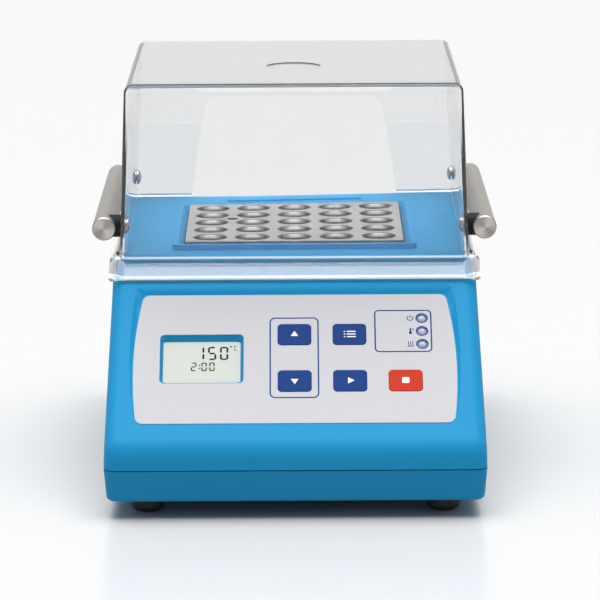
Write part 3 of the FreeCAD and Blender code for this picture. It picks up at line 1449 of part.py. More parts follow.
def make_switch():
    x, y, z = dim.switch_across, recess_floor, recess_middle
    flange = plate("switch_flange", dim.switch_flange_width, dim.switch_flange_height,
                   dim.switch_flange_thickness, dim.switch_flange_radius)
    put(flange, (x, y, z), X_AXIS, -RIGHT)
    body = cuboid("switch_box", dim.switch_body_width,
                  dim.switch_body_depth + dim.switch_flange_thickness / 2, dim.switch_body_height,
                  (x, y - dim.switch_body_depth / 2 + dim.switch_flange_thickness / 4,
                   z - dim.switch_body_height / 2))
    well_width = dim.rocker_width + dim.rocker_side_gap * 2
    well_height = dim.rocker_half_height * 2 + dim.rocker_end_gap * 2
    well_floor = pivot_y - dim.rocker_keel - dim.rocker_under_gap
    well_depth = y + dim.switch_flange_thickness - well_floor
    well = cuboid("switch_well", well_width, well_depth + dim.overrun, well_height,
                  (x, well_floor + (well_depth + dim.overrun) / 2, z - well_height / 2))
    pivot = rod("switch_pivot", dim.rocker_pin_radius + dim.fit_clearance / 2,
                dim.rocker_width + dim.rocker_pin_length * 2 + dim.rocker_side_gap,
                (x - dim.rocker_width / 2 - dim.rocker_pin_length - dim.rocker_side_gap / 2, pivot_y, z),
                Y_AXIS, RIGHT)
    keep(cut("switch_frame", fuse("switch_solid", [flange, body]), [well, pivot]), "switch_frame")
    crown = dim.rocker_crown
    end = dim.rocker_half_height
    shoulder = crown - end * tangent(dim.rocker_angle)
    corners = [
        (crown, zero),
        (shoulder, end),
        (shoulder - dim.rocker_edge, end),
        (-dim.rocker_keel, dim.rocker_keel_half_height),
        (-dim.rocker_keel, -dim.rocker_keel_half_height),
        (shoulder - dim.rocker_edge, -end),
        (shoulder, -end),
    ]
    rocker = profile("rocker_block", corners, dim.rocker_width)
    pins = rod("rocker_pins", dim.rocker_pin_radius, dim.rocker_width + dim.rocker_pin_length * 2,
               (-dim.rocker_width / 2 - dim.rocker_pin_length, zero, zero), Y_AXIS, RIGHT)
    whole = fuse("power_rocker", [rocker, pins])
    put(whole, (x, pivot_y, z), X_AXIS, dim.rocker_angle)
    keep(whole, "power_rocker")


# Safety shield

grow_in = dim.shield_clearance
grow_out = dim.shield_clearance + dim.shield_wall
shield_foot = dim.deck_height + dim.shield_clearance - dim.shield_sink
shield_top = dim.deck_height + dim.shield_rise
shield_width = deck_width - dim.shield_shoulder * 2
shield_front = deck_front - dim.shield_overhang
shield_rear = deck_rear - dim.shield_rear_setback
shield_depth = shield_rear - shield_front
shield_middle = (shield_front + shield_rear) / 2
lip_height = dim.deck_height - dim.lip_drop
lip_y = deck_front - dim.lip_drop / tangent(dim.panel_angle)
rear_window_top = dim.deck_height + dim.rear_window_rise
handle_height = dim.deck_height + dim.handle_rise
handle_middle = shield_front + dim.handle_setback + dim.handle_length / 2
handle_spread = shield_width + dim.handle_reach * 2


def wall_half_at(height):
    """Half the shield's outer width at a height."""
    return shield_width / 2 - (height - shield_foot) * tangent(dim.shield_draft_angle)


def make_shield():
    middle = shield_middle
    walls = plate("shield_walls", shield_width, shield_depth, shield_top - shield_foot,
                  dim.shield_edge_radius, (zero, middle, shield_foot), taper=-dim.shield_draft_angle)

    def on_top(edge):
        return all(near(vertex.Point.z, shield_top) for vertex in edge.Vertexes)

    top_radius = dim.shield_edge_radius - dim.top_flat
    rounded = round_edges("shield_rounded", walls, [(on_top, top_radius)])
    cove_height = dim.cove_run / (tangent(dim.cove_angle) - tangent(dim.shield_draft_angle))
    cove = plate("shield_cove", shield_width + dim.cove_run * 2, shield_depth + dim.cove_run * 2,
                 cove_height, dim.shield_edge_radius + dim.cove_run, (zero, middle, shield_foot),
                 taper=-dim.cove_angle)
    flare = case_form("skirt_outer", grow_out, dim.seam_height, dim.skirt_edge_sharpening)
    band_out = grow_out + dim.overrun
    slope = dim.panel_angle
    band = profile("skirt_band", [
        (lip_y, lip_height),
        (half_depth * 2, lip_height),
        (half_depth * 2, shield_top),
        (lip_y - band_out * sine(slope), shield_top),
        (lip_y - band_out * sine(slope), lip_height + band_out * cosine(slope)),
    ], dim.case_width * 2)
    skirt = common("skirt", flare, band)
    blank = fuse("shield_blank", [rounded, cove, skirt])
    hollow = plate("shield_hollow", shield_width - dim.shield_wall * 2, shield_depth - dim.shield_wall * 2,
                   shield_top - shield_foot - dim.shield_wall, dim.shield_edge_radius - dim.shield_wall,
                   (zero, middle, shield_foot), taper=-dim.shield_draft_angle)
    under = case_form("skirt_inner", grow_in, dim.seam_height)
    foot_z = lip_height - dim.overrun
    fall = dim.deck_height - foot_z
    spread = (dim.rear_window_foot_width - dim.rear_window_top_width) / 2 / dim.rear_window_rise
    foot_half = dim.rear_window_foot_width / 2 + fall * spread
    top_half = dim.rear_window_top_width / 2
    window = profile("rear_window_blank", [
        (-foot_half, foot_z), (foot_half, foot_z), (top_half, rear_window_top),
        (-top_half, rear_window_top)], shield_depth / 4, role="XZ_Plane",
        at=(zero, zero, -shield_rear))

    def top_corner(edge):
        point = edge.firstVertex().Point
        return runs_along(edge, Y_AXIS) and near(point.z, rear_window_top)

    window = round_edges("rear_window", window, [(top_corner, dim.rear_window_radius)])
    disc = rod("top_disc", dim.disc_radius, dim.disc_depth + dim.overrun,
               (zero, shield_front + dim.disc_setback, shield_top - dim.disc_depth))
    away = [hollow, under, window, disc]
    for side in (-1, 1):
        for end in (-1, 1):
            away.append(rod("wall_hole_%d_%d" % (side + 1, end + 1),
                            dim.handle_screw_radius + dim.fit_clearance, handle_spread,
                            (zero, handle_middle + dim.handle_screw_spread / 2 * end,
                             handle_height), Y_AXIS, RIGHT * side))
    keep(cut("safety_shield", blank, away), "safety_shield")


def make_handles():
    half_length = dim.handle_length / 2
    bevel = dim.handle_chamfer
    corners = [
        (zero, -half_length),
        (dim.handle_radius - bevel, -half_length),
        (dim.handle_radius, -half_length + bevel),
        (dim.handle_radius, half_length - bevel),
        (dim.handle_radius - bevel, half_length),
        (zero, half_length),
    ]
    wall_low = wall_half_at(handle_height - dim.handle_spacer_radius)
    wall_in = wall_half_at(handle_height + dim.handle_screw_head_radius) - dim.shield_wall
    spacers = []
    screws = []
    for side, name in ((-1, "handle_bar_left"), (1, "handle_bar_right")):
        x = handle_spread / 2 * side
        bar = turned(name + "_bar", corners, (x, handle_middle, handle_height), X_AXIS, -RIGHT)
        holes = []
        for end in (-1, 1):
            y = handle_middle + dim.handle_screw_spread / 2 * end
            turn = RIGHT * side
            key = "%s_%d" % (name, end + 1)
            holes.append(rod(key + "_hole", dim.handle_screw_radius + dim.fit_clearance / 2,
                             dim.handle_screw_grip + dim.fit_clearance * 5,
                             (x - dim.handle_radius * side, y, handle_height), Y_AXIS, turn))
            spacer = rod(key + "_spacer", dim.handle_spacer_radius,
                         handle_spread / 2 - wall_low - dim.handle_radius + dim.handle_saddle_depth,
                         (wall_low * side, y, handle_height), Y_AXIS, turn)
            saddle = rod(key + "_saddle", dim.handle_radius + dim.fit_clearance / 2, dim.handle_length,
                         (x, y - dim.handle_length / 2, handle_height), X_AXIS, -RIGHT)
            bore = rod(key + "_bore", dim.handle_screw_radius + dim.fit_clearance,
                       handle_spread / 2, (wall_in * side, y, handle_height), Y_AXIS, turn)
            spacers.append(cut(key + "_saddled", spacer, [saddle, bore]))
            length = handle_spread / 2 - dim.handle_radius + dim.handle_screw_grip - wall_in
            head = dim.handle_screw_dome
            screws.append(screw(key + "_screw", dim.handle_screw_radius, length - dim.fit_clearance * 4,
                                dim.handle_screw_head_radius, head,
                                ((wall_in - dim.fit_clearance) * side, y, handle_height), Y_AXIS, turn))
        keep(cut(name, bar, holes), name)
    keep(group("handle_spacers", spacers), "handle_spacers")
    keep(group("handle_screws", screws), "handle_screws")


make_upper_housing()
make_base_tray()
make_feet()
make_case_screws()
make_panel_overlay()
make_keys()
make_display()
make_lamps()
make_display_board()
make_heater_block()
make_heater()
make_insulation()
make_carrier()
make_main_board()
make_inlet()
make_switch()
make_shield()
make_handles()
doc.recompute()

faults = [thing.Label for thing in doc.Objects if "Invalid" in thing.State or "Error" in thing.State]
faults += [piece.Label for piece in nodes if piece.Shape.isNull() or not piece.Shape.isValid()]
if faults:
    raise RuntimeError("These failed: " + ", ".join(faults))

os.makedirs("parts", exist_ok=True)
for piece in nodes:
    piece.Shape.exportStep("parts/%s.step" % piece.Label)
    print(piece.Label, len(piece.Shape.Solids), round(piece.Shape.Volume, 1))
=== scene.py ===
"""Dresses a bench reactor for digestion vials: print, display, finishes and a plain studio."""

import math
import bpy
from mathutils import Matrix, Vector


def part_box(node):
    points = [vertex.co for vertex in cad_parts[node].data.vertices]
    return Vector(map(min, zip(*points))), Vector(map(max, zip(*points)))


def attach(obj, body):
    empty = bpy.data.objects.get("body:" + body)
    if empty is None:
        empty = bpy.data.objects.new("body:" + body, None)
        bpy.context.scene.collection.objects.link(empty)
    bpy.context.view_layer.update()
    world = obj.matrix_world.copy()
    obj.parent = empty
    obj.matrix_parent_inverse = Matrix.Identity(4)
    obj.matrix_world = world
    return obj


bl_info = {
    "name": "Digestion reactor finishes",
    "version": (1, 0, 0),
    "blender": (4, 5, 0),
    "location": "View3D > Sidebar > Reactor",
    "description": "Adds the print, the display and the finishes of a bench digestion reactor",
    "category": "Object",
}

import bpy
from bpy.props import FloatProperty, FloatVectorProperty, PointerProperty
from mathutils import Matrix

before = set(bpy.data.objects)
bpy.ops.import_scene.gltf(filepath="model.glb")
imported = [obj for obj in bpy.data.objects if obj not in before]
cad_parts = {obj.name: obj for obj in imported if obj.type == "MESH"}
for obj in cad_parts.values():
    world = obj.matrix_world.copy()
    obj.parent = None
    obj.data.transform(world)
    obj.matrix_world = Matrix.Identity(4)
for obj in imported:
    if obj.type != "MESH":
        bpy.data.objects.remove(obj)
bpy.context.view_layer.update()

MM = 0.001
HOUSING = "housing"
MOULDED_SHINE = 0.08
INK_SHINE = 0.05
KEY_SHINE = 0.03
LAMP_ROWS = (66.2, 57.9, 49.6)
TEMPERATURE_FOOT = 42.2 * MM
TIMER_FOOT = 35.1 * MM


# Sizes and colours that a user can change

class LabelSizes(bpy.types.PropertyGroup):
    """Where the sloped label lies and how its print is drawn"""

    foot_back: FloatProperty(name="Foot back", description="Place of the label's lower edge along Y",
                             default=-138.7 * MM, unit="LENGTH", precision=4)
    foot_height: FloatProperty(name="Foot height", description="Height of the label's lower edge",
                               default=46.568 * MM, unit="LENGTH", precision=4)
    tilt: FloatProperty(name="Tilt", description="Slope of the label from level",
                        default=math.radians(40.2), subtype="ANGLE")
    film: FloatProperty(name="Film", description="Thickness of the label film",
                        default=0.3 * MM, unit="LENGTH", precision=5)
    ink: FloatProperty(name="Ink", description="Height of the print over what carries it",
                       default=0.04 * MM, unit="LENGTH", precision=5)
    line: FloatProperty(name="Line", description="Width of the printed frames' lines",
                        default=0.72 * MM, unit="LENGTH", precision=5)
    key_top: FloatProperty(name="Key top", description="Height of the keys' tops over the label plane",
                           default=0.65 * MM, unit="LENGTH", precision=5)


class DisplaySizes(bpy.types.PropertyGroup):
    """The display's digits"""

    glass_depth: FloatProperty(name="Glass depth", description="How far the glass lies under the label",
                               default=2.6 * MM, unit="LENGTH", precision=5)
    large: FloatProperty(name="Large digit", description="Height of the temperature's digits",
                         default=8.4 * MM, unit="LENGTH", precision=5)
    small: FloatProperty(name="Small digit", description="Height of the timer's digits",
                         default=5.5 * MM, unit="LENGTH", precision=5)


class WellSizes(bpy.types.PropertyGroup):
    """Where the block's wells stand, and where highlight and shade are painted in and round them"""

    pitch: FloatProperty(name="Pitch", description="Distance from well to well", default=22.0 * MM,
                         unit="LENGTH", precision=4)
    middle: FloatProperty(name="Middle", description="Place of the middle well along Y",
                          default=19.2 * MM, unit="LENGTH", precision=4)
    # painted shade: a dark ring is painted round each well on the top face
    painted_shade_rim: FloatProperty(name="Rim", description="Radius of the dark edge round a well",
                       default=8.75 * MM, unit="LENGTH", precision=5)
    # painted shade: walls outside the bores, such as the block's sides, are painted dark
    outside: FloatProperty(name="Outside", description="Radius beyond which a wall is no bore's",
                           default=8.95 * MM, unit="LENGTH", precision=5)
    # painted highlight: a white streak is painted in each bore, from these heights and across this
    # width
    glint: FloatProperty(name="Glint", description="Width over which the bores' highlight fades",
                         default=4.4 * MM, unit="LENGTH", precision=5)
    lit_from: FloatProperty(name="Lit from", description="Height at which the highlight begins",
                            default=117.4 * MM, unit="LENGTH", precision=5)
    lean_from: FloatProperty(name="Lean from", description="Height above which the bores seem to lean",
                             default=118.0 * MM, unit="LENGTH", precision=5)
    # painted shade: each bore's mouth is painted dark above this height
    painted_dark_mouth: FloatProperty(name="Lip", description="Height above which a bore's mouth is dark",
                       default=119.9 * MM, unit="LENGTH", precision=5)
    top: FloatProperty(name="Top", description="Height just under the block's top face",
                       default=120.2 * MM, unit="LENGTH", precision=5)


class ShieldSizes(bpy.types.PropertyGroup):
    """Where the shield's painted shade, painted glow and ring lie"""

    # painted shade: the front wall is painted darker than the other walls, back to a depth and above a
    # foot
    painted_shade_depth: FloatProperty(name="Front depth", description="How far back the front tint goes",
                               default=30.0 * MM, unit="LENGTH", precision=4)
    painted_shade_foot: FloatProperty(name="Wall foot", description="Height above which the tint starts",
                             default=117.5 * MM, unit="LENGTH", precision=4)
    # painted glow: the skirt's bends glow between these heights, though the sheet is no lamp
    lower_bend: FloatVectorProperty(name="Lower bend", description="Heights between which it glows",
                                    size=2, default=(107.0 * MM, 108.2 * MM), unit="LENGTH")
    upper_bend: FloatVectorProperty(name="Upper bend", description="Heights between which it glows",
                                    size=2, default=(116.2 * MM, 117.3 * MM), unit="LENGTH")
    spot_back: FloatProperty(name="Spot back", description="Place of the round spot along Y",
                             default=13.0 * MM, unit="LENGTH", precision=4)
    spot_radius: FloatProperty(name="Spot radius", description="Radius of the round spot on the top",
                               default=14.25 * MM, unit="LENGTH", precision=5)


class FinishColours(bpy.types.PropertyGroup):
    """Base colours of the finishes, and where and by how much the case is painted brighter, as painted
    light
    """

    case_blue: FloatVectorProperty(name="Case", description="Moulded case", subtype="COLOR", size=3,
                                   default=(0.012, 0.25, 0.50))
    label_grey: FloatVectorProperty(name="Label", description="Label film", subtype="COLOR", size=3,
                                    default=(0.452, 0.452, 0.482))
    ink_navy: FloatVectorProperty(name="Ink", description="Print and blue keys", subtype="COLOR",
                                  size=3, default=(0.009, 0.041, 0.185))
    stop_red: FloatVectorProperty(name="Stop key", description="Red key", subtype="COLOR", size=3,
                                  default=(0.49, 0.035, 0.014))
    steel: FloatVectorProperty(name="Steel", description="Brushed grip bars", subtype="COLOR", size=3,
                               default=(0.47, 0.447, 0.412))
    # painted light: above this height, on its deck, the case is painted brighter by the share below
    painted_light_from: FloatProperty(name="Pale from", description="Height above which the case is paler",
                             default=116.6 * MM, unit="LENGTH", precision=4)
    painted_brighter: FloatProperty(name="Paler", description="How many times as bright the case is there",
                         default=1.75)


class StudioSizes(bpy.types.PropertyGroup):
    """Camera and light"""

    lens: FloatProperty(name="Lens", description="Focal length in millimetres", default=230.12)
    fall: FloatProperty(name="Fall", description="How far the camera looks down",
                        default=math.radians(10.9), subtype="ANGLE")
    camera_back: FloatProperty(name="Camera back", description="Camera's place along Y",
                               default=-1.9956, unit="LENGTH")
    camera_height: FloatProperty(name="Camera height", description="Camera's height", default=0.4665,
                                 unit="LENGTH")
    roll: FloatProperty(name="Roll", description="How far the camera leans", default=math.radians(-0.3),
                        subtype="ANGLE")
    shift: FloatProperty(name="Shift", description="Sideways shift of the view", default=0.0089,
                         precision=4)
    walls: FloatProperty(name="Walls", description="Brightness of the room near the level of the floor",
                         default=0.42)
    backdrop: FloatProperty(name="Backdrop", description="Brightness of the paper that hangs behind",
                            default=0.72)
    paper_edges: FloatVectorProperty(name="Paper edges", description="Y of the way, dim to bright",
                                     size=2, default=(0.3, 0.85))
    ceiling: FloatProperty(name="Ceiling", description="Brightness of the soft light overhead",
                           default=5.6)
    light_edges: FloatVectorProperty(name="Light edges", description="Z of the way, dark to bright",
                                     size=2, default=(0.78, 0.97))


# Shader maths

class Wire:
    """A socket whose sums are written as Python sums."""

    def __init__(self, finish, socket):
        self.finish = finish
        self.socket = socket

    def maths(self, operation, *values):
        return self.finish.maths(operation, *values)

    def __add__(self, other):
        return self.maths("ADD", self, other)

    def __sub__(self, other):
        return self.maths("SUBTRACT", self, other)

    def __rsub__(self, other):
        return self.maths("SUBTRACT", other, self)

    def __mul__(self, other):
        return self.maths("MULTIPLY", self, other)

    def __truediv__(self, other):
        return self.maths("DIVIDE", self, other)

    def __pow__(self, other):
        return self.maths("POWER", self, other)

    def __neg__(self):
        return self.maths("MULTIPLY", self, -1.0)

    __radd__ = __add__

    def above(self, edge):
        return self.maths("GREATER_THAN", self, edge)

    def least(self, other):
        return self.maths("MINIMUM", self, other)

    def most(self, other):
        return self.maths("MAXIMUM", self, other)

    def size(self):
        return self.maths("ABSOLUTE", self)

    def kept(self):
        """The value held between nothing and one."""
        return self.most(0.0).least(1.0)

    def within(self, low, high):
        """One between two heights, with soft edges, and nothing outside."""
        return ((self - low) * 4000.0).kept() * ((high - self) * 4000.0).kept()


class Finish:
    """One material and its nodes."""

    def __init__(self, name):
        self.material = bpy.data.materials.new(name)
        self.material.use_nodes = True
        self.tree = self.material.node_tree
        self.surface = self.tree.nodes["Principled BSDF"]

    def node(self, kind, settings=None, values=None, output=0):
        """Adds a node, sets it up, feeds its sockets and gives one of its outputs."""
        made = self.tree.nodes.new(kind)
        for name, setting in (settings or {}).items():
            setattr(made, name, setting)
        for name, value in (values or {}).items():
            self.feed(made.inputs[name], value)
        return Wire(self, made.outputs[output])

    def feed(self, socket, value):
        if isinstance(value, Wire):
            self.tree.links.new(value.socket, socket)
        elif isinstance(value, (tuple, list)) and socket.type == "RGBA":
            socket.default_value = (*value[:3], 1.0)
        else:
            socket.default_value = value

    def set(self, **sockets):
        """Feeds sockets of the surface, whose names use a low line for a space."""
        for name, value in sockets.items():
            self.feed(self.surface.inputs[name.replace("_", " ")], value)
        return self

    def maths(self, operation, *values):
        return self.node("ShaderNodeMath", {"operation": operation}, dict(enumerate(values)))

    def place(self):
        return self.node("ShaderNodeTexCoord", output="Object")

    def axes(self):
        """The three coordinates of the place on the piece."""
        split = self.tree.nodes.new("ShaderNodeSeparateXYZ")
        self.feed(split.inputs[0], self.place())
        return [Wire(self, socket) for socket in split.outputs]

    def noise(self, scale, detail=2.0, roughness=0.5, stretch=None):
        """Grey noise. A stretch multiplies the coordinates axis by axis."""
        place = self.place()
        if stretch:
            place = self.node("ShaderNodeMapping", None, {"Vector": place, "Scale": stretch})
        return self.node("ShaderNodeTexNoise", None,
                         {"Vector": place, "Scale": scale, "Detail": detail, "Roughness": roughness})

    def blend(self, share, first, second):
        """A colour between two."""
        made = self.tree.nodes.new("ShaderNodeMix")
        made.data_type = "RGBA"
        for socket, value in ((0, share), (6, first), (7, second)):
            self.feed(made.inputs[socket], value)
        return Wire(self, made.outputs[2])

    def bump(self, height, distance, strength=1.0, under=None):
        values = {"Height": height, "Distance": distance, "Strength": strength}
        if under is not None:
            values["Normal"] = under
        return self.node("ShaderNodeBump", None, values)


def toned(colour, share):
    """A colour made darker or paler by a share."""
    return tuple(channel * share for channel in colour)


def reach(across, along, least=0.0):
    """How far a place is from the middle. A least, in square metres, keeps it from being nothing."""
    return (across * across + along * along + least) ** 0.5


def give(node_name, finish):
    """Puts a finish on all of a CAD node's slots."""
    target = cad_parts[node_name]
    if not target.material_slots:
        target.data.materials.append(finish.material)
    for held in target.material_slots:
        held.material = finish.material


def soften(node_name, angle=32.0):
    """Smooth shading over round faces and sharp edges elsewhere, by modifiers alone."""
    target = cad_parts[node_name]
    select_only(target)
    bpy.ops.object.shade_smooth()
    weld = target.modifiers.new("joined", "WELD")
    weld.merge_threshold = 0.002 * MM
    split = target.modifiers.new("edges", "EDGE_SPLIT")
    split.split_angle = math.radians(angle)
    weight = target.modifiers.new("faces", "WEIGHTED_NORMAL")
    weight.weight = 100


def dress(finishes):
    """Puts finishes on CAD nodes, by name, and softens their shading."""
    for name, finish in finishes.items():
        give(name, finish)
        soften(name)


# Modelling steps

def select_only(*things):
    bpy.ops.object.select_all(action="DESELECT")
    for thing in things:
        thing.select_set(True)
    bpy.context.view_layer.objects.active = things[0]


def finish_piece(piece, finish, body):
    piece.data.materials.clear()
    piece.data.materials.append(finish.material)
    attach(piece, body)
    return piece


def flat(name, width, length):
    """A flat rectangle at the origin, ready to be shaped."""
    bpy.ops.object.select_all(action="DESELECT")
    bpy.ops.mesh.primitive_plane_add(size=1)
    piece = bpy.context.object
    piece.name = piece.data.name = name
    piece.scale = (width, length, 1)
    bpy.ops.object.transform_apply(location=False, rotation=False, scale=True)
    return piece


def disc(name, radius, corners):
    bpy.ops.object.select_all(action="DESELECT")
    bpy.ops.mesh.primitive_circle_add(vertices=corners, radius=radius, fill_type="NGON")
    piece = bpy.context.object
    piece.name = piece.data.name = name
    return piece


def round_corners(piece, radius, parts):
    select_only(piece)
    bpy.ops.object.mode_set(mode="EDIT")
    bpy.ops.mesh.select_all(action="SELECT")
    bpy.ops.mesh.bevel(offset=radius, segments=parts, affect="VERTICES")
    bpy.ops.mesh.remove_doubles(threshold=0.001 * MM)
    bpy.ops.object.mode_set(mode="OBJECT")
    return piece


def hollow_out(piece, line):
    """Leaves a flat piece as a ring of one width."""
    select_only(piece)
    bpy.ops.object.mode_set(mode="EDIT")
    bpy.ops.mesh.select_all(action="SELECT")
    bpy.ops.mesh.inset(thickness=line, use_even_offset=True)
    bpy.ops.mesh.delete(type="FACE")
    bpy.ops.object.mode_set(mode="OBJECT")
    return piece


def thicken(piece, thickness):
    """Gives a flat piece its thickness, upwards."""
    select_only(piece)
    solid = piece.modifiers.new("thickness", "SOLIDIFY")
    solid.thickness = thickness
    solid.offset = 1
    bpy.ops.object.modifier_apply(modifier=solid.name)
    return piece


def move(piece, across, along, turn=0.0):
    """Moves a flat piece in its own plane."""
    select_only(piece)
    turned = Matrix.Rotation(turn, 4, "Z") @ piece.matrix_world
    piece.matrix_world = Matrix.Translation((across, along, 0)) @ turned
    bpy.ops.object.transform_apply(location=True, rotation=True, scale=True)
    return piece


def join(name, pieces):
    select_only(*pieces)
    bpy.ops.object.join()
    joined = bpy.context.object
    joined.name = joined.data.name = name
    return joined


def lay_on_label(piece, out):
    """Takes a piece from the XY plane to a height over the sloped label plane."""
    sizes = bpy.context.scene.reactor_label
    foot = Matrix.Translation((0, sizes.foot_back, sizes.foot_height))
    select_only(piece)
    piece.matrix_world = foot @ Matrix.Rotation(sizes.tilt, 4, "X") @ Matrix.Translation((0, 0, out))
    bpy.ops.object.transform_apply(location=True, rotation=True, scale=True)
    return piece


# Finishes

def moulded(name, colour, roughness=0.46, painted_light_from=None, painted_brighter=1.0):
    """Moulded plastic with a fine spark texture. What lies above a height can be painted brighter, as
    painted light.
    """
    finish = Finish(name)
    cloud = finish.noise(14.0, 3.0)
    grain = finish.noise(2600.0, 1.0)
    tone = finish.blend((cloud * 0.5 + 0.25).kept(), toned(colour, 0.94), toned(colour, 1.05))
    # painted light: above the given height the colour is painted brighter
    if painted_light_from:
        height = finish.axes()[2]
        tone = finish.blend(height.above(painted_light_from), tone, toned(colour, painted_brighter))
    finish.set(Base_Color=tone, Roughness=roughness + (cloud - 0.5) * 0.08 + (grain - 0.5) * 0.05,
               Normal=finish.bump(grain, 0.02 * MM, 0.35), Specular_IOR_Level=MOULDED_SHINE)
    return finish


def marked_rocker(name):
    """Black moulding with the usual on and off marks printed on its two halves."""
    black = (0.025, 0.025, 0.028)
    from_middle = 5.6 * MM
    stroke_half_width, stroke_half_length = 0.3 * MM, 1.7 * MM
    ring_radius, ring_half_width = 1.5 * MM, 0.28 * MM
    printed_depth = 4.0 * MM
    finish = moulded(name, black, 0.3)
    low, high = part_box("power_rocker")
    x, y, z = finish.axes()
    x, z = [place - (low[axis] + high[axis]) / 2 for place, axis in ((x, 0), (z, 2))]
    off_stroke = x.size().above(stroke_half_width)
    off_length = (z - from_middle).size().above(stroke_half_length)
    ring = 1.0 - (reach(x, z + from_middle, 1e-10) - ring_radius).size().above(ring_half_width)
    marks = ((1.0 - off_stroke) * (1.0 - off_length) + ring) * y.above(high[1] - printed_depth)
    finish.set(Base_Color=finish.blend(marks, black, (0.75, 0.75, 0.76)))
    return finish


def film(name, colour, roughness=0.42, shine=0.22):
    """Printed polyester film with a faint cross grain."""
    finish = Finish(name)
    along = finish.noise(900.0, 1.0, stretch=(1.0, 0.12, 0.12))
    across = finish.noise(900.0, 1.0, stretch=(0.12, 1.0, 1.0))
    weave = (along + across) * 0.5
    tone = finish.blend((weave * 1.6 - 0.3).kept(), toned(colour, 0.975), toned(colour, 1.02))
    finish.set(Base_Color=tone, Roughness=roughness + (weave - 0.5) * 0.12,
               Normal=finish.bump(weave, 0.02 * MM, 0.3), Specular_IOR_Level=shine)
    return finish


def ink(name, colour):
    finish = Finish(name)
    grain = finish.noise(3000.0, 1.0)
    finish.set(Base_Color=finish.blend(grain, toned(colour, 0.95), toned(colour, 1.08)),
               Roughness=0.4 + (grain - 0.5) * 0.1, Specular_IOR_Level=INK_SHINE)
    return finish


def turned_steel(name, colour):
    """Brushed round the bar, and turned in rings on the ends, with a painted bow-tie reflection on the
    ends.
    """
    end_depth, ring_pitch = 0.1 * MM, 0.5 * MM
    finish = Finish(name)
    x, y, z = finish.axes()
    low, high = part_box("handle_bar_right")
    middle = [(first + last) / 2 for first, last in zip(low, high)]
    strokes = finish.noise(260.0, 4.0, 0.65, stretch=(1.0, 9.0, 1.0))
    blotch = finish.noise(34.0, 3.0)
    tone = finish.blend((strokes * 1.5 - 0.25).kept(), toned(colour, 0.78), toned(colour, 1.22))
    tone = finish.blend((blotch * 0.5).kept(), tone, toned(colour, 0.82))
    end = (y - middle[1]).size().above((high[1] - low[1]) / 2 - end_depth)
    across = x.size() - middle[0]
    up = z - middle[2]
    out = reach(across, up, 1e-9)
    rings = finish.maths("SINE", out * (2 * math.pi / ring_pitch))
    # the ends' tone: the turned rings, and a painted bow-tie reflection, lighter in two opposite
    # quarters of each end and darker in the other two
    rings_and_painted_reflection = (0.5 + across * up / (out * out) * 0.9 + rings * 0.12).kept()
    tone = finish.blend(end, tone, finish.blend(rings_and_painted_reflection, toned(colour, 0.72), toned(colour, 1.4)))
    finish.set(Base_Color=tone, Metallic=1.0, Roughness=0.3 + strokes * 0.16,
               Normal=finish.bump(strokes * (1.0 - end) + rings * end * 0.5, 0.02 * MM, 0.5))
    return finish


def bare_steel(name, colour=(0.5, 0.5, 0.51), roughness=0.32):
    finish = Finish(name)
    rolled = finish.noise(300.0, 3.0, stretch=(1.0, 0.1, 1.0))
    finish.set(Base_Color=finish.blend(rolled, toned(colour, 0.86), toned(colour, 1.1)), Metallic=1.0,
               Roughness=roughness + (rolled - 0.5) * 0.16, Normal=finish.bump(rolled, 0.01 * MM, 0.3))
    return finish


def from_well(finish, wells, x, y):
    """How far a place on the block is from the middle of the nearest well, across and along."""
    return [finish.maths("FLOORED_MODULO", place + wells.pitch / 2, wells.pitch) - wells.pitch / 2
            for place in (x, y - wells.middle)]


def block_metal(name):
    """Machined aluminium: mill lines on the top, bores with a painted highlight and painted shade, and
    painted dark rings and outer walls.
    """
    wells = bpy.context.scene.reactor_wells
    painted_ring_width = 0.4 * MM
    finish = Finish(name)
    x, y, z = finish.axes()
    lines = finish.noise(420.0, 2.0, stretch=(0.05, 1.0, 1.0))
    blotch = finish.noise(40.0, 3.0)
    deep = ((wells.top - z) * 9000.0).kept()
    top = finish.blend((lines * 1.4 - 0.2).kept(), (0.49, 0.49, 0.495), (0.65, 0.65, 0.655))
    top = finish.blend((blotch * 0.4).kept(), top, (0.46, 0.46, 0.465))
    rings = finish.noise(120.0, 2.0, stretch=(0.1, 0.1, 9.0))
    across, along = from_well(finish, wells, x, y)
    out = reach(across, along)
    # painted highlight: a white streak up the middle of each bore's far wall; below it and to its sides
    # the bore is painted dark, as painted shade
    shine = (1.5 - across.size() / wells.glint).kept() * ((z - wells.lit_from) * 620.0).kept()
    bore = finish.blend(shine, (0.21, 0.21, 0.215), (0.99, 0.99, 0.995))
    # painted shade: each bore's mouth is painted dark
    bore = finish.blend(((z - wells.painted_dark_mouth) * 6000.0).kept(), bore, (0.10, 0.10, 0.105))
    lean = finish.bump(-(z - wells.lean_from).most(0.0) * shine, 1.0)
    # painted shade: a dark ring is painted round each well on the top face
    edge = (1.0 - (out - wells.painted_shade_rim).size() / painted_ring_width).kept()
    top = finish.blend(edge, top, (0.08, 0.08, 0.085))
    # painted shade: the walls outside the bores are painted dark
    bore = finish.blend(out.above(wells.outside), bore, (0.20, 0.21, 0.22))
    finish.set(Base_Color=finish.blend(deep, top, bore), Metallic=0.25 + deep * 0.25,
               Roughness=0.5 + deep * 0.08 + (lines - 0.5) * 0.12 + (rings - 0.5) * deep * 0.12,
               Normal=finish.bump(rings * deep + lines * (1.0 - deep), 0.015 * MM, 0.4, lean))
    return finish


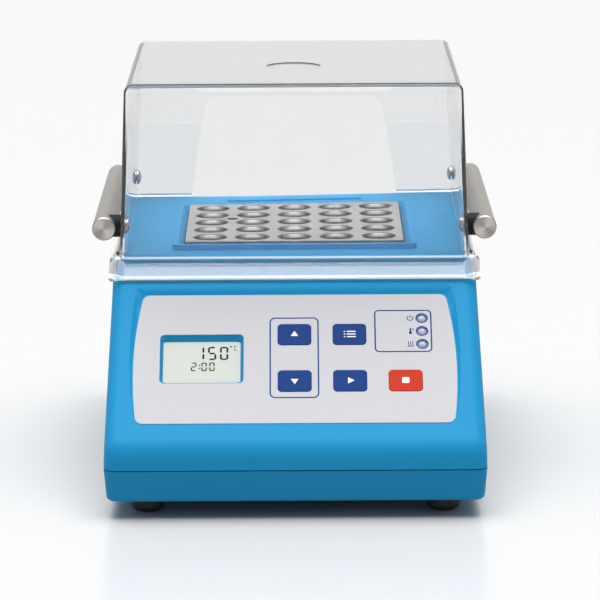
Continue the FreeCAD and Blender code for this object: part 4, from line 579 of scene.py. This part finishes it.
def clear_plastic(name):
    """Clear thick sheet with painted shade on its front wall, painted glow on its bends and a ring
    round its spot.
    """
    sizes = bpy.context.scene.reactor_shield
    low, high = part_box("safety_shield")
    ring_width, ring_depth = 0.5 * MM, 1.0 * MM
    finish = Finish(name)
    x, y, z = finish.axes()
    fine = finish.noise(380.0, 2.0, stretch=(1.0, 1.0, 0.25))
    haze = finish.noise(9.0, 3.0)
    # painted shade: the front wall, above its foot, is painted darker than the other walls
    front = ((low[1] + sizes.painted_shade_depth - y) * 80.0).kept()
    tone = finish.blend(haze, (0.965, 0.965, 0.97), (0.985, 0.985, 0.99))
    tone = finish.blend(front * z.above(sizes.painted_shade_foot), tone, (0.885, 0.888, 0.89))
    off_ring = (reach(x, y - sizes.spot_back, 1e-10) - sizes.spot_radius).size() / ring_width
    ring = (1.0 - off_ring).kept() * z.above(high[2] - ring_depth)
    # painted glow: bands on the skirt's bends glow white, though the sheet is no lamp
    glow = z.within(*sizes.lower_bend) + z.within(*sizes.upper_bend)
    finish.set(Base_Color=finish.blend(ring, tone, (0.22, 0.22, 0.23)), Metallic=ring * 0.9,
               Emission_Color=finish.blend(glow, (0.0, 0.0, 0.0), (0.80, 0.84, 0.88)),
               Roughness=0.012 + fine * 0.012, Normal=finish.bump(fine, 0.0003 * MM, 0.1),
               IOR=1.49, Transmission_Weight=0.98, Emission_Strength=0.45)
    return finish


def soft_rubber(name):
    finish = Finish(name)
    grain = finish.noise(1500.0, 2.0)
    finish.set(Base_Color=finish.blend(grain, (0.012, 0.014, 0.02), (0.03, 0.033, 0.042)),
               Roughness=0.62 + (grain - 0.5) * 0.2, Normal=finish.bump(grain, 0.03 * MM, 0.5))
    return finish


def display_glass(name):
    """Pale liquid-crystal sheet behind glass, with a faint speckle and a faint painted glow."""
    finish = Finish(name)
    speckle = finish.noise(3500.0, 1.0)
    cloud = finish.noise(30.0, 2.0)
    tone = finish.blend(cloud, (0.43, 0.455, 0.415), (0.48, 0.505, 0.46))
    tone = finish.blend(speckle * 0.2, tone, (0.39, 0.41, 0.37))
    # painted glow: the sheet gives a faint light of its own colour, though it is no lamp
    finish.set(Base_Color=tone, Emission_Color=tone, Emission_Strength=0.03,
               Roughness=0.16 + speckle * 0.06, Specular_IOR_Level=0.25)
    return finish


def lamp_lens(name):
    finish = Finish(name)
    grain = finish.noise(700.0, 2.0)
    # painted shade: the lens is painted darker where it is seen edge-on
    painted_shade_rim = finish.node("ShaderNodeLayerWeight", None, {"Blend": 0.5}, output="Facing")
    share = (grain * 0.3 + painted_shade_rim * 0.5).kept()
    finish.set(Base_Color=finish.blend(share, (0.42, 0.46, 0.62), (0.25, 0.28, 0.44)),
               Roughness=0.22 + grain * 0.1)
    return finish


def circuit(name):
    """Green board with tracks that run square to each other."""
    finish = Finish(name)
    rows = finish.node("ShaderNodeTexBrick", None, {"Vector": finish.place(), "Scale": 240.0,
                                                    "Mortar Size": 0.03, "Color1": (0, 0, 0),
                                                    "Color2": (0.2, 0.2, 0.2), "Mortar": (1, 1, 1)})
    dust = finish.noise(120.0, 3.0)
    tone = finish.blend(rows * 0.5, (0.015, 0.14, 0.05), (0.05, 0.3, 0.12))
    finish.set(Base_Color=finish.blend(dust * 0.3, tone, (0.03, 0.1, 0.05)),
               Roughness=0.34 + dust * 0.15, Normal=finish.bump(rows, 0.03 * MM, 0.4))
    return finish


def fibre(name):
    finish = Finish(name)
    strands = finish.noise(420.0, 5.0, 0.75, stretch=(1.0, 1.0, 3.0))
    finish.set(Base_Color=finish.blend(strands, (0.55, 0.53, 0.48), (0.85, 0.84, 0.8)), Roughness=0.95,
               Normal=finish.bump(strands, 0.4 * MM, 0.8))
    return finish


def coloured_part(name, colour, metal=0.0, roughness=0.45):
    """Small parts: one colour, mottled."""
    finish = Finish(name)
    mottle = finish.noise(160.0, 3.0)
    finish.set(Base_Color=finish.blend(mottle, toned(colour, 0.85), toned(colour, 1.12)),
               Metallic=metal, Roughness=roughness + (mottle - 0.5) * 0.2,
               Normal=finish.bump(mottle, 0.05 * MM, 0.3))
    return finish


# Operators

class REACTOR_OT_case(bpy.types.Operator):
    """Finish the moulded case, its tray, its feet and its screws"""

    bl_idname = "reactor.case"
    bl_label = "Case"

    def execute(self, context):
        colours = context.scene.reactor_colours
        dress({
            # the upper housing's deck is painted brighter: painted light
            "upper_housing": moulded("moulded_blue", colours.case_blue, painted_light_from=colours.painted_light_from,
                                     painted_brighter=colours.painted_brighter),
            # painted shade: the tray is painted a darker copy of the case's blue
            "base_tray": moulded("tray_blue_painted_darker", toned(colours.case_blue, 0.86)),
            "rubber_feet": soft_rubber("foot_rubber"),
        })
        dress(dict.fromkeys(("case_screws", "board_screws", "clamp_screws", "carrier_screws",
                             "inlet_screws", "handle_screws"), bare_steel("plated_screws")))
        return {"FINISHED"}


class REACTOR_OT_keys(bpy.types.Operator):
    """Finish the label film, the keys and the lamps"""

    bl_idname = "reactor.keys"
    bl_label = "Keys and lamps"

    def execute(self, context):
        colours = context.scene.reactor_colours
        give("panel_overlay", film("label_film", colours.label_grey))
        soften("panel_overlay", 20.0)
        dress(dict.fromkeys(("key_up", "key_down", "key_program", "key_start"),
                            film("key_blue_film", colours.ink_navy, 0.34, KEY_SHINE)))
        dress({"key_stop": film("key_red_film", colours.stop_red, 0.34, KEY_SHINE),
               "status_lamps": lamp_lens("lamp_lens")})
        return {"FINISHED"}


class REACTOR_OT_print(bpy.types.Operator):
    """Print the frames, the lamp rings and the signs on the label and the keys"""

    bl_idname = "reactor.print"
    bl_label = "Print"

    def execute(self, context):
        sizes = context.scene.reactor_label
        colours = context.scene.reactor_colours
        navy = ink("navy_ink", colours.ink_navy)
        pieces = [
            self.frame("arrow_frame", sizes, (-12.8, 12.1, 15.6, 67.0), 3.0),
            self.frame("lamp_frame", sizes, (40.2, 69.3, 44.4, 71.6), 2.5),
        ]
        for row in LAMP_ROWS:
            ring = hollow_out(disc("lamp_ring", 3.15 * MM, 48), 0.5 * MM)
            pieces.append(move(ring, 64.3 * MM, row * MM))
        for sign, row in zip((self.power_sign, self.heat_sign, self.coil_sign), LAMP_ROWS):
            pieces += sign(58.4, row)
        printed = thicken(join("label_print", pieces), sizes.ink)
        lay_on_label(printed, sizes.film)
        finish_piece(printed, navy, HOUSING)
        white = ink("white_ink", (0.82, 0.83, 0.86))
        signs = {
            "key_up": [self.triangle(0.0)],
            "key_down": [self.triangle(math.pi)],
            "key_program": self.list_sign(),
            "key_start": [self.triangle(-math.pi / 2)],
            "key_stop": [round_corners(flat("stop_sign", 3.6 * MM, 3.6 * MM), 0.25 * MM, 3)],
        }
        places = {"key_up": (-0.2, 55.9), "key_down": (-0.2, 26.3), "key_program": (27.6, 55.9),
                  "key_start": (27.6, 26.3), "key_stop": (55.4, 26.3)}
        for key, parts in signs.items():
            sign = join(key + "_sign", parts)
            move(sign, places[key][0] * MM, places[key][1] * MM)
            thicken(sign, sizes.ink)
            lay_on_label(sign, sizes.key_top)
            finish_piece(sign, white, key)
        return {"FINISHED"}

    def frame(self, name, sizes, edges, radius):
        left, right, low, high = [edge * MM for edge in edges]
        piece = round_corners(flat(name, right - left, high - low), radius * MM, 8)
        hollow_out(piece, sizes.line)
        return move(piece, (left + right) / 2, (low + high) / 2)

    def triangle(self, turn):
        return move(round_corners(disc("arrow_sign", 2.2 * MM, 3), 0.15 * MM, 3), 0, 0, turn)

    def bar(self, width, length, across, along):
        """A stroke of a sign, with its sizes and its place in millimetres."""
        piece = flat("sign_bar", width * MM, length * MM)
        round_corners(piece, min(width, length) * 0.45 * MM, 3)
        return move(piece, across * MM, along * MM)

    def list_sign(self):
        rows = [self.bar(4.6, 0.62, 0.9, step * 1.7) for step in (-1, 0, 1)]
        dots = [self.bar(0.8, 0.62, -2.5, step * 1.7) for step in (-1, 0, 1)]
        return rows + dots

    def power_sign(self, across, along):
        """A ring that is open at its top, with a stroke in the gap."""
        ring = disc("power_ring", 1.65 * MM, 40)
        hollow_out(ring, 0.42 * MM)
        select_only(ring)
        bpy.ops.object.mode_set(mode="EDIT")
        bpy.ops.mesh.select_all(action="DESELECT")
        bpy.ops.object.mode_set(mode="OBJECT")
        half_gap = math.radians(32)
        for face in ring.data.polygons:
            face.select = abs(math.atan2(face.center.x, face.center.y)) < half_gap
        bpy.ops.object.mode_set(mode="EDIT")
        bpy.ops.mesh.delete(type="FACE")
        bpy.ops.object.mode_set(mode="OBJECT")
        return [move(ring, across * MM, along * MM), self.bar(0.42, 1.9, across, along + 1.0)]

    def heat_sign(self, across, along):
        bulb = move(disc("bulb", 0.85 * MM, 24), across * MM, (along - 1.15) * MM)
        stem = self.bar(0.8, 3.1, across, along + 0.45)
        return [bulb, stem] + [self.bar(1.0, 0.36, across + 1.3, along + up) for up in (1.5, 0.6)]

    def coil_sign(self, across, along):
        bars = [self.bar(0.42, 2.7, across + step * 1.05, along + 0.25) for step in (-1, 0, 1)]
        return bars + [self.bar(3.6, 0.42, across, along - 1.45)]


class REACTOR_OT_display(bpy.types.Operator):
    """Finish the display and draw its digits"""

    bl_idname = "reactor.display"
    bl_label = "Display"

    SEGMENTS = {"0": "abcdef", "1": "bc", "2": "abged", "5": "afgcd", "C": "afed"}

    def execute(self, context):
        sizes = context.scene.reactor_display
        label = context.scene.reactor_label
        dress({"lcd_glass": display_glass("display_glass"),
               "lcd_frame": moulded("frame_black", (0.02, 0.02, 0.022), 0.5)})
        pieces = self.number("150", -33.6 * MM, TEMPERATURE_FOOT, sizes.large)
        pieces += self.number("C", -29.2 * MM, TEMPERATURE_FOOT + 5.9 * MM, 3.0 * MM)
        degree = hollow_out(disc("degree", 0.55 * MM, 20), 0.28 * MM)
        pieces.append(move(degree, -32.3 * MM, TEMPERATURE_FOOT + 8.4 * MM))
        pieces += self.number("00", -40.4 * MM, TIMER_FOOT, sizes.small)
        pieces += self.number("2", -49.6 * MM, TIMER_FOOT, sizes.small)
        for up in (0.32, 0.68):
            dot = round_corners(flat("colon", 0.7 * MM, 0.7 * MM), 0.1 * MM, 2)
            pieces.append(move(dot, -48.0 * MM, TIMER_FOOT + sizes.small * up))
        digits = thicken(join("display_digits", pieces), label.ink)
        lay_on_label(digits, -sizes.glass_depth)
        finish_piece(digits, ink("display_dark", (0.012, 0.014, 0.013)), HOUSING)
        return {"FINISHED"}

    def number(self, text, right, low, height):
        """Digits drawn leftwards from their right edge."""
        width = height * 0.5
        pitch = height * 0.72
        pieces = []
        for count, digit in enumerate(reversed(text)):
            centre = right - width / 2 - count * pitch
            pieces += self.digit(digit, centre, low, width, height)
        return pieces

    def digit(self, digit, centre, low, width, height):
        """The segments of one digit, with short gaps between them."""
        thick = height * 0.115
        half = height / 2
        right = width / 2 - thick / 2
        places = {
            "a": (0, height - thick / 2, True), "g": (0, half, True), "d": (0, thick / 2, True),
            "b": (right, half * 1.5, False), "c": (right, half / 2, False),
            "f": (-right, half * 1.5, False), "e": (-right, half / 2, False),
        }
        pieces = []
        for name in self.SEGMENTS[digit]:
            across, along, level = places[name]
            length = (width - thick if level else half - thick / 2) - thick * 0.2
            bar = round_corners(flat("segment", length, thick), thick * 0.499, 1)
            pieces.append(move(bar, centre + across, low + along, 0.0 if level else math.pi / 2))
        return pieces


class REACTOR_OT_block(bpy.types.Operator):
    """Finish the heating block and what carries it"""

    bl_idname = "reactor.block"
    bl_label = "Heating block"

    def execute(self, context):
        dress({"heater_block": block_metal("machined_block")})
        wool = fibre("pressed_fibre")
        sheet_metal = bare_steel("rolled_sheet")
        dress({
            "heater_mat": coloured_part("mat_silicone", (0.5, 0.1, 0.03), roughness=0.6),
            "clamp_plate": sheet_metal,
            "temperature_probe": bare_steel("probe_steel", roughness=0.25),
            "safety_thermostat": coloured_part("thermostat_can", (0.55, 0.55, 0.53), 0.9, 0.35),
            "insulation_jacket": wool,
            "insulation_pad": wool,
            "block_standoffs": sheet_metal,
            "carrier_plate": sheet_metal,
            "carrier_posts": coloured_part("post_brass", (0.55, 0.4, 0.15), 1.0, 0.35),
        })
        return {"FINISHED"}


class REACTOR_OT_boards(bpy.types.Operator):
    """Finish the boards and what stands on them"""

    bl_idname = "reactor.boards"
    bl_label = "Boards"

    def execute(self, context):
        board = circuit("board_green")
        black = moulded("part_black", (0.018, 0.018, 0.02), 0.48)
        dress({
            "display_board": board,
            "main_board": board,
            "tact_switches": black,
            "triac": black,
            "ribbon_headers": black,
            "board_spacers": coloured_part("spacer_nylon", (0.75, 0.74, 0.7)),
            "power_transformer": coloured_part("transformer_varnish", (0.22, 0.16, 0.08), 0.3),
            "heat_sink": coloured_part("sink_black", (0.05, 0.05, 0.055), 0.8, 0.4),
            "relay": coloured_part("relay_case", (0.03, 0.1, 0.3), roughness=0.3),
            "terminal_block": coloured_part("terminal_green", (0.04, 0.28, 0.1)),
            "ribbon_cable": coloured_part("ribbon_grey", (0.4, 0.4, 0.42)),
        })
        return {"FINISHED"}


class REACTOR_OT_shield(bpy.types.Operator):
    """Finish the clear shield and its grip bars"""

    bl_idname = "reactor.shield"
    bl_label = "Shield and bars"

    def execute(self, context):
        colours = context.scene.reactor_colours
        steel = turned_steel("turned_steel", colours.steel)
        dress({
            "safety_shield": clear_plastic("clear_sheet"),
            "handle_bar_left": steel,
            "handle_bar_right": steel,
            "handle_spacers": moulded("spacer_black", (0.02, 0.02, 0.02), 0.42),
        })
        return {"FINISHED"}


class REACTOR_OT_rear(bpy.types.Operator):
    """Finish the inlet, the fuse drawer and the power switch"""

    bl_idname = "reactor.rear"
    bl_label = "Rear"

    def execute(self, context):
        black = moulded("inlet_black", (0.018, 0.018, 0.02), 0.45)
        dress({
            "power_inlet": black,
            "fuse_drawer": black,
            "switch_frame": black,
            "power_rocker": marked_rocker("rocker_black"),
            "inlet_pins": bare_steel("pin_plate", (0.62, 0.62, 0.6), 0.2),
            "fuses": coloured_part("fuse_glass", (0.6, 0.63, 0.62), 0.2, 0.2),
        })
        return {"FINISHED"}


class REACTOR_OT_stage(bpy.types.Operator):
    """Set the floor, the light and the camera"""

    bl_idname = "reactor.stage"
    bl_label = "Stage"

    def execute(self, context):
        studio = context.scene.reactor_studio
        bpy.ops.object.select_all(action="DESELECT")
        bpy.ops.mesh.primitive_plane_add(size=14)
        floor = context.object
        floor.name = floor.data.name = "floor"
        paper = Finish("floor_paper")
        grain = paper.noise(3.0, 2.0)
        paper.set(Base_Color=paper.blend(grain, (0.602, 0.604, 0.604), (0.607, 0.609, 0.609)),
                  Roughness=0.24 + grain * 0.02)
        floor.data.materials.append(paper.material)
        context.scene.world = self.soft_room(studio)
        aim = Matrix.Rotation(math.pi / 2 - studio.fall, 4, "X") @ Matrix.Rotation(studio.roll, 4, "Z")
        bpy.ops.object.camera_add(location=(0, studio.camera_back, studio.camera_height),
                                  rotation=aim.to_euler())
        camera = context.object
        camera.name = "photo_camera"
        camera.data.lens = studio.lens
        camera.data.shift_x = studio.shift
        camera.data.clip_end = 50
        context.scene.camera = camera
        context.scene.view_settings.view_transform = "Standard"
        return {"FINISHED"}

    def soft_room(self, studio):
        """Pale walls, a bright paper behind and one wide soft light overhead."""
        world = bpy.data.worlds.new("soft_room")
        world.use_nodes = True
        tree = world.node_tree
        place = tree.nodes.new("ShaderNodeTexCoord")
        split = tree.nodes.new("ShaderNodeSeparateXYZ")
        tree.links.new(place.outputs["Generated"], split.inputs[0])
        back = self.rise(tree, split.outputs["Y"], studio.paper_edges, studio.walls, studio.backdrop)
        up = self.rise(tree, split.outputs["Z"], studio.light_edges, 0.0, studio.ceiling)
        both = tree.nodes.new("ShaderNodeMath")
        tree.links.new(back, both.inputs[0])
        tree.links.new(up, both.inputs[1])
        tree.links.new(both.outputs[0], tree.nodes["Background"].inputs["Strength"])
        tree.nodes["Background"].inputs["Color"].default_value = (1, 1, 1, 1)
        return world

    def rise(self, tree, socket, edges, least, most):
        """A soft step from one brightness to another."""
        step = tree.nodes.new("ShaderNodeMapRange")
        step.interpolation_type = "SMOOTHSTEP"
        tree.links.new(socket, step.inputs["Value"])
        values = {"From Min": edges[0], "From Max": edges[1], "To Min": least, "To Max": most}
        for name, value in values.items():
            step.inputs[name].default_value = value
        return step.outputs[0]


class REACTOR_PT_steps(bpy.types.Panel):
    """Lists the steps in the order in which they run"""

    bl_label = "Reactor"
    bl_idname = "REACTOR_PT_steps"
    bl_space_type = "VIEW_3D"
    bl_region_type = "UI"
    bl_category = "Reactor"

    def draw(self, context):
        for step in STEPS:
            self.layout.operator(step.bl_idname)
        for group in GROUPS:
            values = getattr(context.scene, group)
            box = self.layout.box()
            for name in values.bl_rna.properties.keys():
                if name not in ("rna_type", "name"):
                    box.prop(values, name)


STEPS = (REACTOR_OT_case, REACTOR_OT_keys, REACTOR_OT_print, REACTOR_OT_display, REACTOR_OT_block,
         REACTOR_OT_boards, REACTOR_OT_shield, REACTOR_OT_rear, REACTOR_OT_stage)
GROUPS = {"reactor_label": LabelSizes, "reactor_display": DisplaySizes,
          "reactor_wells": WellSizes, "reactor_shield": ShieldSizes,
          "reactor_colours": FinishColours, "reactor_studio": StudioSizes}


def register():
    for group in GROUPS.values():
        bpy.utils.register_class(group)
    for name, group in GROUPS.items():
        setattr(bpy.types.Scene, name, PointerProperty(type=group))
    for made in (*STEPS, REACTOR_PT_steps):
        bpy.utils.register_class(made)


def unregister():
    for made in reversed((*STEPS, REACTOR_PT_steps)):
        bpy.utils.unregister_class(made)
    for name in GROUPS:
        delattr(bpy.types.Scene, name)
    for group in reversed(list(GROUPS.values())):
        bpy.utils.unregister_class(group)


def main():
    register()
    bpy.ops.reactor.case()
    bpy.ops.reactor.keys()
    bpy.ops.reactor.print()
    bpy.ops.reactor.display()
    bpy.ops.reactor.block()
    bpy.ops.reactor.boards()
    bpy.ops.reactor.shield()
    bpy.ops.reactor.rear()
    bpy.ops.reactor.stage()


if __name__ == "__main__":
    main()
